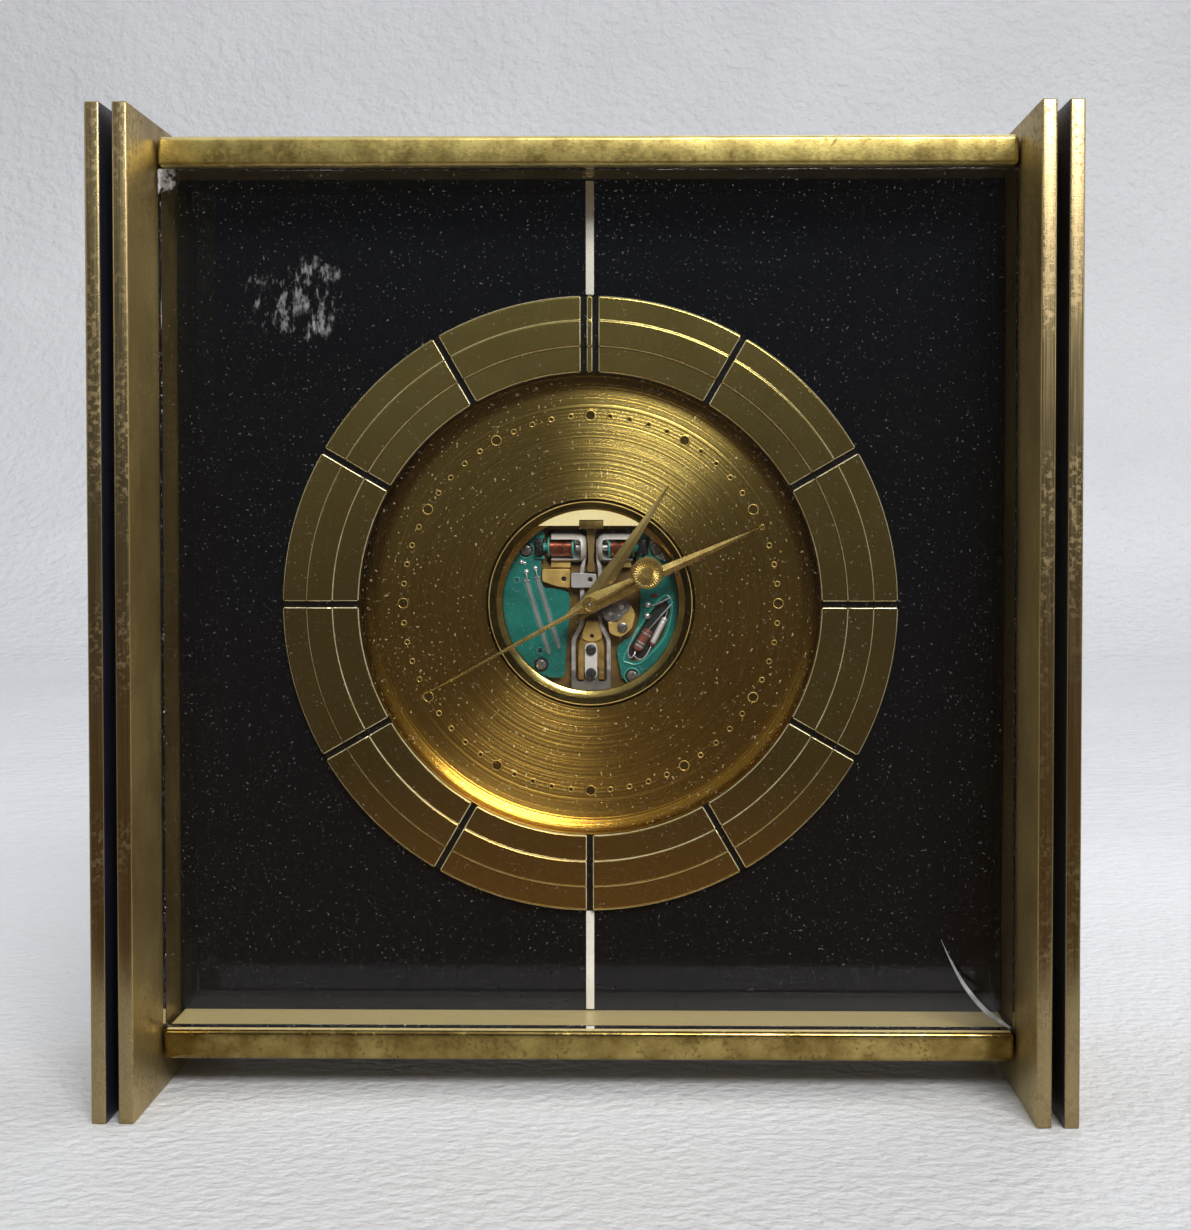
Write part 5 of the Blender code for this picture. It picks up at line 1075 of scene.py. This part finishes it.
def electronics():
    at, degrees = (8.3, -6.1, 0.92), 58.6
    end = [(0, -2.0), (0.34, -2.0), (0.72, -1.82), (0.8, -1.5)]
    body = softProfile(end + [(r, -h) for r, h in end[::-1]], 0.15, closed=False)
    pieceFrom("resistor_finished", [turnedAcross(body, at, degrees, 48)], "ceramic", "resistor")
    bands = []
    for middle, half in ((-1.05, 0.2), (-0.45, 0.12), (1.2, 0.14)):
        low, high = middle - half, middle + half
        band = [(0.78, low), (0.815, low), (0.815, high), (0.78, high)]
        bands.append(turnedAcross(band, at, degrees, 48))
    pieceFrom("resistorBands", bands, "solder")
    at, degrees = (10.9, -4.6, 0.62), 63.4
    can = [
        (0, -2.3), (0.36, -2.3), (0.5, -2.16), (0.5, 1.6), (0.44, 1.68), (0.5, 1.76), (0.5, 2.16),
        (0.4, 2.3), (0, 2.3),
    ]
    can = turnedAcross(softProfile(can, 0.08, closed=False), at, degrees, 48)
    pieceFrom("capacitor_finished", [can], "nickel", "capacitor")
    seal = [(0, -2.75), (0.3, -2.75), (0.46, -2.6), (0.46, -2.25), (0, -2.25)]
    pieceFrom("capacitorEnd", [turnedAcross(seal, at, degrees, 32)], "redPaint")
    pieceFrom("leads", [wire(points, radius) for points, radius in leads], "solder")


electronics()


# A blob is half an ellipsoid with a dimpled side: r = R sin q, height = H cos q.
def blob(at, radius, height, level, steps=20):
    q = np.linspace(0, math.pi / 2, 7)
    profile = np.stack([radius * np.sin(q), level + height * np.cos(q)], -1)
    return turned(np.vstack([profile, [(radius, level - 0.03), (0, level - 0.03)]]), at, steps, plateLevel)


# Solder spots are (place, radius, height) and holes (place, radius).
solderSpots = [
    ((-11.3, 6.5), 0.42, 0.35), ((-10.75, 6.35), 0.3, 0.25), ((-10.5, 4.9), 0.5, 0.42),
    ((-9.0, 5.5), 0.42, 0.38), ((9.15, -0.4), 0.55, 0.5), ((9.05, -2.2), 0.55, 0.5),
    ((9.8, 10.5), 0.42, 0.36), ((11.9, 6.9), 0.3, 0.25),
]
boardHoles = [
    ((-12.0, 3.6), 0.36), ((-8.3, -7.8), 0.42), ((-9.7, 10.7), 0.28), ((-7.9, 10.9), 0.24),
    ((11.6, 4.4), 0.3),
]


def boardFittings():
    pieceFrom("solderJoints", [blob(at, r, h, boardTop) for at, r, h in solderSpots], "solder")
    # Painted shade: thin dark discs stand for the board's holes and the recesses round its screws.
    pitShades = []
    for at, r in boardHoles + [(at, 1.2) for at in screwSeats.values()]:
        pitShades.append(turned([(0, 1.035), (r, 1.03), (r, 0.97), (0, 0.97)], at, 32, plateLevel))
    pieceFrom("boardPitShades", pitShades, "recess")
    washer = [(1.15, 0.97), (1.15, 1.1), (1.22, 1.14), (1.3, 1.1), (1.34, 0.97)]
    seats = [at for corner, at in screwSeats.items() if corner != "lower_left"]
    rims = [turned(washer, at, 48, plateLevel) for at in seats]
    for at, r in boardHoles[:4]:
        rims.append(turned([(r, 0.97), (r, 1.05), (r + 0.14, 1.05), (r + 0.18, 0.97)], at, 32, plateLevel))
    pieceFrom("boardRims", rims, "boardLight")
    above = [(9.1, 10.25), (9.1, 11.3), (8.6, 11.6), (7.6, 11.6), (7.5, 10.25)]
    below = [(9.05, 7.0), (9.05, 7.55), (7.6, 7.55), (7.5, 7.0)]
    collars = []
    for outline, top, y, ease, corner in ((above, 1.5, 10.9, 0.12, 0.3), (below, 1.4, 7.3, 0.1, 0.12)):
        for side in (-1, 1):
            line = [(side * px, py) for px, py in outline]
            collars.append(flatPlate(line, 0.95, top, (side * 8.3, y), ease=ease, corner=corner))
    pieceFrom("terminalCollars", collars, "boardLight")
    oval = [(9.5, 9.9), (10.2, 11.0), (11.0, 10.3), (11.9, 8.3), (11.8, 7.0), (11.0, 6.9), (9.7, 8.2)]
    oval = flatPlate(oval, 0.97, 1.07, screwSeats["upper_right"], hole=0.5, ease=0.03, corner=0.5)
    pieceFrom("screwPlate", [oval], "nickel")
    bead = [(0, -0.65), (0.16, -0.6), (0.24, -0.4), (0.24, 0.4), (0.16, 0.6), (0, 0.65)]
    pieceFrom("redBead", [turnedAcross(bead, (10.3, 1.1, 1.2), 10, 24)], "redPaint")


# A strap is a flat bar with round ends between two places on the board.
def strap(start, end, width, low, high, ease=0.1):
    start, end = np.array(start, float), np.array(end, float)
    way = (end - start) / np.linalg.norm(end - start)
    side = np.array([-way[1], way[0]])
    q = np.linspace(-math.pi / 2, math.pi / 2, 9)[:, None]
    cap = end + width / 2 * (way * np.cos(q) + side * np.sin(q))
    tail = start + width / 2 * (-way * np.cos(q) - side * np.sin(q))
    return flatPlate(np.vstack([cap, tail]), low, high, (start + end) / 2, ease=ease, corner=0.01, count=80)


def boardStraps():
    pairs = [((-10.5, 3.6), (-6.9, -8.1)), ((-8.75, 4.1), (-5.25, -7.2))]
    pieceFrom("straps", [strap(a, b, 0.72, 0.99, 1.16) for a, b in pairs], "strap")
    lines = [
        ((-10.95, 3.3), (-7.4, -8.2)), ((-10.0, 3.5), (-6.45, -8.0)), ((-9.2, 3.9), (-5.75, -7.3)),
        ((-8.25, 4.0), (-4.8, -7.0)),
    ]
    lines = [wire([(*a, 1.02), (*b, 1.02)], 0.06, sides=6, perSpan=20) for a, b in lines]
    pieceFrom("strapLines", lines, "boardLight")
    clips = []
    for x, y in ((-10.3, 3.55), (-8.65, 4.05)):
        outline = [(x - 0.5, y - 0.22), (x + 0.5, y - 0.1), (x + 0.5, y + 0.12), (x - 0.5, y)]
        clips.append(flatPlate(outline, 1.15, 1.3, (x, y - 0.05), ease=0.04, corner=0.05, count=40))
    clips.append(wire([(-10.45, 4.9, 1.2), (-10.45, 4.3, 1.3), (-10.3, 3.6, 1.28)], 0.13, sides=8))
    clips.append(wire([(-9.0, 5.5, 1.2), (-8.85, 4.9, 1.3), (-8.65, 4.1, 1.28)], 0.13, sides=8))
    pieceFrom("strapClips", clips, "solder")


boardFittings()
boardStraps()


# The recess's floor, the lip that follows its edge, and the brass pieces that stand between the limbs.
recessLine = [(6.2, -9.6), (5.6, -8.3), (9.6, -1.5), (12.0, 0.9), (12.9, -1.2), (11.6, -5.6), (8.3, -9.4)]


def insetLine(line, middle, by):
    line = np.array(line, float)
    way = np.array(middle) - line
    return line + way * by / np.linalg.norm(way, axis=1, keepdims=True)


def movementTrim():
    middle = (9.4, -4.6)
    floor = flatPlate(insetLine(recessLine, middle, 0.25), 0.02, 0.11, middle, ease=0.02, corner=0.6)
    # The recess's floor is near-black: painted shade.
    pieceFrom("recessFloor", [floor], "recess")
    lip = insetLine(recessLine, middle, -0.25)
    lip = np.column_stack([lip, np.full(len(lip), 1.05)])
    pieceFrom("recessLip", [wire(lip, 0.16, sides=8, perSpan=10, closed=True)], "boardLight")
    tulip = [
        (-0.75, -3.0), (-1.5, -5.2), (-1.45, -5.9), (-0.6, -6.3), (0.85, -6.3), (1.75, -5.9),
        (1.8, -5.2), (1.15, -3.0),
    ]
    plate = flatPlate(tulip, 1.42, 1.8, (0.15, -5.4), hole=0.34, ease=0.1, corner=0.22)
    pieceFrom("tulipPlate", [plate], "gilt")
    cock = [
        (1.75, -1.55), (2.1, -0.75), (2.75, -0.95), (3.1, -0.2), (4.1, 0.35), (5.6, 0.5), (6.4, -0.3),
        (6.1, -1.3), (5.2, -1.9), (4.8, -2.7), (4.0, -3.0), (3.4, -2.6), (2.7, -3.05), (2.1, -2.4),
    ]
    cock = flatPlate(cock, 3.1, 3.32, (4.0, -1.3), ease=0.06, corner=0.25, count=160)
    pieceFrom("wheelCock", [cock], "cockSteel")
    posts = []
    for at, r in (((3.1, -1.75), 0.34), ((4.9, -0.6), 0.45), ((4.5, -2.05), 0.22)):
        post = [(0, 3.5), (r - 0.08, 3.48), (r, 3.4), (r, 3.25), (0, 3.25)]
        posts.append(turned(post, at, 32, plateLevel))
    pieceFrom("cockPosts", posts, "forkSteel")
    foot = [(-6.5, 5.62), (-6.5, 6.5), (-3.3, 6.5), (-3.3, 5.62)]
    for name, side in (("coilFoot", 1), ("coilFootRight", -1)):
        outline = [(side * x, y) for x, y in foot]
        pieceFrom(name, [flatPlate(outline, 0.02, 1.3, (side * -4.9, 6.05), ease=0.08, corner=0.1)], "gilt")
    # Painted shade: thin black discs stand for the pin holes.
    holeShades = []
    pins = [((-4.4, 3.8), 0.3, 1.63, 1.55), ((0.15, -5.4), 0.34, 1.5, 1.43), ((-0.1, 3.7), 0.26, 2.21, 2.1)]
    for at, r, top, low in pins:
        holeShades.append(turned([(0, top), (r, top), (r, low), (0, low)], at, 32, plateLevel))
    pieceFrom("pinHoleShades", holeShades, "blackPlastic")


movementTrim()
print("movement dressed")


# The hands: angles clockwise from 12, lengths and widths in mm.
hands = {
    "hour": dict(level=-0.75, angle=33.7, tip=22.6, tail=3.6, half=1.55, tipHalf=0.14, bore=0.93),
    "minute": dict(level=0.25, angle=65.9, tip=30.4, tail=4.3, half=1.5, tipHalf=0.14, bore=0.52),
    "seconds": dict(level=1.3, angle=241.4, tip=30.6, tail=9.2, half=0.42, tipHalf=0.11, bore=0.30),
    "thickness": 0.25, "ridge": 0.3, "disc": (10.4, 2.55), "boss": 1.12,
}


# A blade: its half width falls evenly from the hub to both ends, and its ridge rises with the width.
def blade(hand, tailHalf=0.12, ridge=None):
    level, thick, a = hand["level"], hands["thickness"], math.radians(hand["angle"])
    ridge = hands["ridge"] if ridge is None else ridge
    ahead, behind = np.linspace(0, hand["tip"], 40)[1:], np.linspace(-hand["tail"], 0, 12)
    s = np.concatenate([behind, ahead])[:, None]
    w = np.where(s < 0, hand["half"] + (hand["half"] - tailHalf) * s / hand["tail"],
                 hand["half"] + (hand["tipHalf"] - hand["half"]) * s / hand["tip"])
    top = thick + ridge * w / hand["half"]
    across = np.hstack([-w, -w, 0 * w, w, w])
    up = np.hstack([0 * w, 0 * w + thick * 0.55, top, 0 * w + thick * 0.55, 0 * w])
    s = np.vstack([s[:1], s, s[-1:]])
    across = np.vstack([0 * across[:1], across, 0 * across[:1]])
    up = np.vstack([0 * up[:1] + thick / 2, up, 0 * up[:1] + thick / 2])
    x = s * math.sin(a) + across * math.cos(a)
    y = s * math.cos(a) - across * math.sin(a)
    return meshFrom("blade", [(onDial(x * mm, y * mm, (level + up) * mm), False, True)], sharp=10)


def handBore(hand):
    radius, level = hand["bore"], hand["level"]
    profile = [(0, level + 2), (radius, level + 2), (radius, level - 1), (0, level - 1)]
    return meshFrom("bore", [turned(profile, steps=48)])


for name, finish in (("hour", "hourBrass"), ("minute", "handBrass")):
    shaped = carved(blade(hands[name]), [handBore(hands[name])], sharp=10.0)
    placePiece(name + "_hand_finished", shaped, finish, name + "_hand")


# The disc's milled band: height = face + depth cos(n angle) between two radii.
def milledDisc(at, radius, face, low, ridges=30, depth=0.06):
    profile = np.array([
        (0, face), (0.5, face), (0.56, face - 0.05), (0.66, face - 0.05), (0.72, face), (0.95, face),
        (1.05, face), (1.95, face), (2.05, face), (radius - 0.12, face), (radius, face - 0.1),
        (radius, low + 0.08), (radius - 0.08, low), (0, low),
    ])
    steps = ridges * 8
    t = np.linspace(0, 2 * math.pi, steps, endpoint=False)
    r, z = profile[:, :1], profile[:, 1:] + 0 * t
    milled = (profile[:, :1] > 1.0) & (profile[:, :1] < 2.0) & (profile[:, 1:] > low + 0.1)
    z = z + np.where(milled, depth * (np.cos(ridges * t) - 1), 0)
    return onDial((at[0] + r * np.sin(t)) * mm, (at[1] + r * np.cos(t)) * mm, z * mm), False, True


def secondsHand():
    hand = hands["seconds"]
    level, a = hand["level"], math.radians(hand["angle"])
    face = level + hands["thickness"] + 0.1
    out, radius = hands["disc"]
    at = (-out * math.sin(a), -out * math.cos(a))
    wide = hands["boss"]
    boss = [
        (0, face), (wide - 0.3, face), (wide - 0.24, face - 0.04), (wide - 0.18, face),
        (wide - 0.06, face), (wide, face - 0.06), (wide, level - 0.3), (0, level - 0.3),
    ]
    collar = [(0, 0.12), (0.34, 0.12), (0.4, 0.06), (0.4, -0.05), (0, -0.05)]
    parts = [
        meshFrom("disc", [milledDisc(at, radius, face, level - 0.1)]),
        meshFrom("boss", [turned(boss, steps=64)]),
        meshFrom("collar", [turned([(r, face + up) for r, up in collar], steps=48)]),
    ]
    mesh = carved(blade(hand, tailHalf=0.36, ridge=0.05), parts, "UNION")
    mesh = carved(mesh, [handBore(hand)], sharp=30.0)
    placePiece("seconds_hand_finished", mesh, "handBrass", "seconds_hand")


secondsHand()
print("hands made")


# The back. Heights run forward from the dial panel's front, in mm.
back = {"face": -21.8, "radius": 18.6, "hatchRadius": 6.4, "wellRadius": 5.2, "coinSlot": (4.8, 0.7)}


def movementCan():
    r, face = back["radius"], back["face"]
    profile = [
        (0, -19.2), (14.8, -19.2), (14.8, -8.3), (16.4, -8.3), (16.4, -4.1), (17.9, -4.1), (17.9, -3.1),
        (38.5, -3.1), (38.5, -2.3), (42, -2.3), (42, -4.1), (r, -4.1), (r, face + 0.5), (r - 0.5, face),
        (r - 2.2, face), (r - 2.3, face + 0.12), (r - 2.6, face + 0.12), (r - 2.7, face), (0, face),
    ]
    can = meshFrom("can", [turned(softProfile(profile, 0.1, closed=False), steps=160)])
    bores = [
        (hatchAt, back["hatchRadius"] + 0.3, -20.5), (stemAt, back["wellRadius"], -20.3),
        (hatchAt, 5.8, -13.8), (stemAt, 0.5, -18.2),
    ]
    tools = []
    for at, radius, top in bores:
        bore = [(0, top), (radius, top), (radius, face - 1), (0, face - 1)]
        tools.append(meshFrom("bore", [turned(bore, at, 96)]))
    placePiece("movement_can_finished", carved(can, tools), "canBrass", "movement_can")


movementCan()


def batteryHatch():
    r, face = back["hatchRadius"], back["face"] + 0.1
    profile = [
        (0, -18.7), (1.54, -18.7), (2.2, -19.2), (5.5, -19.2), (5.5, face + 1.0), (r, face + 1.0),
        (r, face + 0.25), (r - 0.25, face), (r - 0.9, face), (r - 1.0, face + 0.1), (r - 1.2, face + 0.1),
        (r - 1.3, face), (0, face),
    ]
    hatch = meshFrom("hatch", [turned(softProfile(profile, 0.08, closed=False), hatchAt, 96)])
    x, y = (np.array([at - half, at + half]) for at, half in zip(hatchAt, back["coinSlot"]))
    low, high = onDial(x * mm, y * mm, np.array([face - 1, face + 0.6]) * mm)
    slot = meshFrom("coinSlot", [roundedBox(np.minimum(low, high), np.maximum(low, high), 0.3 * mm)])
    placePiece("battery_hatch_finished", carved(hatch, [slot]), "hatchNickel", "battery_hatch")


batteryHatch()


# The handle is one closed wire: a straight pin through the stem's head and a half circle below it.
def settingHandle():
    low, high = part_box("setting_handle")
    radius = 0.35
    half = (high.x - low.x) / 2 / mm - radius
    depth = (panelFront - (low.y + high.y) / 2) / mm
    top = ((high.z - hubHeight) / mm) - radius
    drop = (high.z - low.z) / mm - 2 * radius
    q = np.linspace(0, -math.pi, 17)
    bow = np.stack([stemAt[0] + half * np.cos(q), top - (drop - half) + half * np.sin(q)], -1)
    pin = np.stack([np.linspace(stemAt[0] - half, stemAt[0] + half, 7), np.full(7, top)], -1)
    line = np.column_stack([np.vstack([bow, pin]), np.full(24, depth)])
    loop = wire(line, radius, sides=12, perSpan=3, closed=True, place=onDial)
    pieceFrom("setting_handle_finished", [loop], "nickel", "setting_handle", sharp=60)


settingHandle()
print("back made")


# The floor, the light and the camera.
def stageFinish():
    finish, tree, shader = newFinish("paleTable")
    place = objectPlace(tree)
    soft = noise(tree, place, 9, 3.0)
    colour = mixed(tree, between(tree, soft, 0.3, 0.7), (0.70, 0.71, 0.73), (0.64, 0.65, 0.67))
    back = axes(tree, place)["Y"]
    colour = mixed(tree, between(tree, back, 0.08, -0.05, 0.0, 0.8), colour, (0.50, 0.50, 0.50))
    tree.links.new(colour, shader.inputs["Base Color"])
    shader.inputs["Roughness"].default_value = 0.55
    away = between(tree, back, 0.05, 0.5)
    near, far = noise(tree, place, 420, 3.0, 0.5), noise(tree, place, 150, 3.0, 0.55)
    nearShare = times(tree, sums(tree, "SUBTRACT", 1.0, away), 0.3)
    height = plus(tree, times(tree, near, nearShare), times(tree, far, away))
    tree.links.new(bumped(tree, height, 0.7, 0.004), shader.inputs["Normal"])
    return finish


# The floor runs back flat and then curves up: an arc of radius bend, then straight up.
def floorAndBackdrop():
    stage = {"front": -0.073, "back": 0.75, "bend": 0.4, "top": 1.8, "half": 2.0}
    angle = np.linspace(0, math.pi / 2, 13)
    rear, bend = stage["back"], stage["bend"]
    y = np.concatenate([[stage["front"]], rear + bend * np.sin(angle), [rear + bend]])
    z = np.concatenate([[0.0], bend * (1 - np.cos(angle)), [stage["top"]]])
    x = np.array([-stage["half"], stage["half"]])
    grid = np.stack(np.broadcast_arrays(x[None, :], y[:, None], z[:, None]), -1)
    mesh = bpy.data.meshes.new("paleFloor")
    mesh.from_pydata(grid.reshape(-1, 3).tolist(), [], gridFaces(len(y), 2, False, False).tolist())
    mesh.shade_smooth()
    mesh.materials.append(stageFinish())
    floor = bpy.data.objects.new("paleFloor", mesh)
    bpy.context.scene.collection.objects.link(floor)


floorAndBackdrop()


def softLamp(name, place, aim, size, power):
    data = bpy.data.lights.new(name, "AREA")
    data.shape = "RECTANGLE"
    data.size, data.size_y = size
    data.energy = power
    lamp = bpy.data.objects.new(name, data)
    bpy.context.scene.collection.objects.link(lamp)
    lamp.location = place
    way = np.array(aim) - np.array(place)
    tilt = math.atan2(math.hypot(way[0], way[1]), -way[2])
    lamp.rotation_euler = (tilt, 0, math.atan2(way[0], -way[1]) + math.pi)


lamps = {
    "keyLamp": {"place": (0.345, -1.18, 0.93), "aim": (0, 0, 0.075), "size": (0.62, 0.45), "power": 22.0},
    "leftLamp": {"place": (-1.2, -0.7, 0.6), "aim": (0, 0, 0.07), "size": (0.7, 0.7), "power": 1.6},
    "rightLamp": {"place": (1.15, -0.5, 0.5), "aim": (0, 0, 0.1), "size": (0.5, 0.5), "power": 2.2},
    "backLamp": {"place": (0.4, 1.0, 1.3), "aim": (0, 0, 0.07), "size": (0.8, 0.6), "power": 4.0},
}
for name, lamp in lamps.items():
    softLamp(name, **lamp)


# The room: bright overhead, mid grey round about and dark in front of the dial, where it turns from
# cool above to warm below. The camera sees a plain pale background.
def makeWorld():
    world = bpy.data.worlds.new("paleRoom")
    bpy.context.scene.world = world
    world.use_nodes = True
    tree = world.node_tree
    background = tree.nodes["Background"]
    coordinate = tree.nodes.new("ShaderNodeTexCoord")
    way = axes(tree, coordinate.outputs["Generated"])
    height = between(tree, way["Z"], 0.12, 0.85)
    front = times(tree, between(tree, way["Y"], -0.45, -0.85), between(tree, height, 1.0, 0.0))
    room = mixed(tree, height, (0.32, 0.315, 0.31), (0.80, 0.81, 0.84))
    facing = mixed(tree, between(tree, way["Z"], -0.24, 0.12), (0.135, 0.08, 0.04), (0.105, 0.113, 0.125))
    room = mixed(tree, front, room, facing)
    path = tree.nodes.new("ShaderNodeLightPath")
    shown = mixed(tree, path.outputs["Is Camera Ray"], room, (0.78, 0.79, 0.81))
    tree.links.new(shown, background.inputs["Color"])


makeWorld()

view = {"place": (0.0109, -0.317, 0.0903), "turn": (88.4, 0.0, 0.86), "lens": 58.4,
        "sensor": 36, "shift": (-0.027, -0.043)}
camera = bpy.data.objects.new("camera", bpy.data.cameras.new("camera"))
bpy.context.scene.collection.objects.link(camera)
camera.location = view["place"]
camera.rotation_euler = [math.radians(angle) for angle in view["turn"]]
camera.data.lens = view["lens"]
camera.data.sensor_width = view["sensor"]
camera.data.shift_x, camera.data.shift_y = view["shift"]
camera.data.clip_start = 0.01
bpy.context.scene.camera = camera
bpy.context.scene.view_settings.view_transform = "Standard"
print("stage, lamps and camera set")
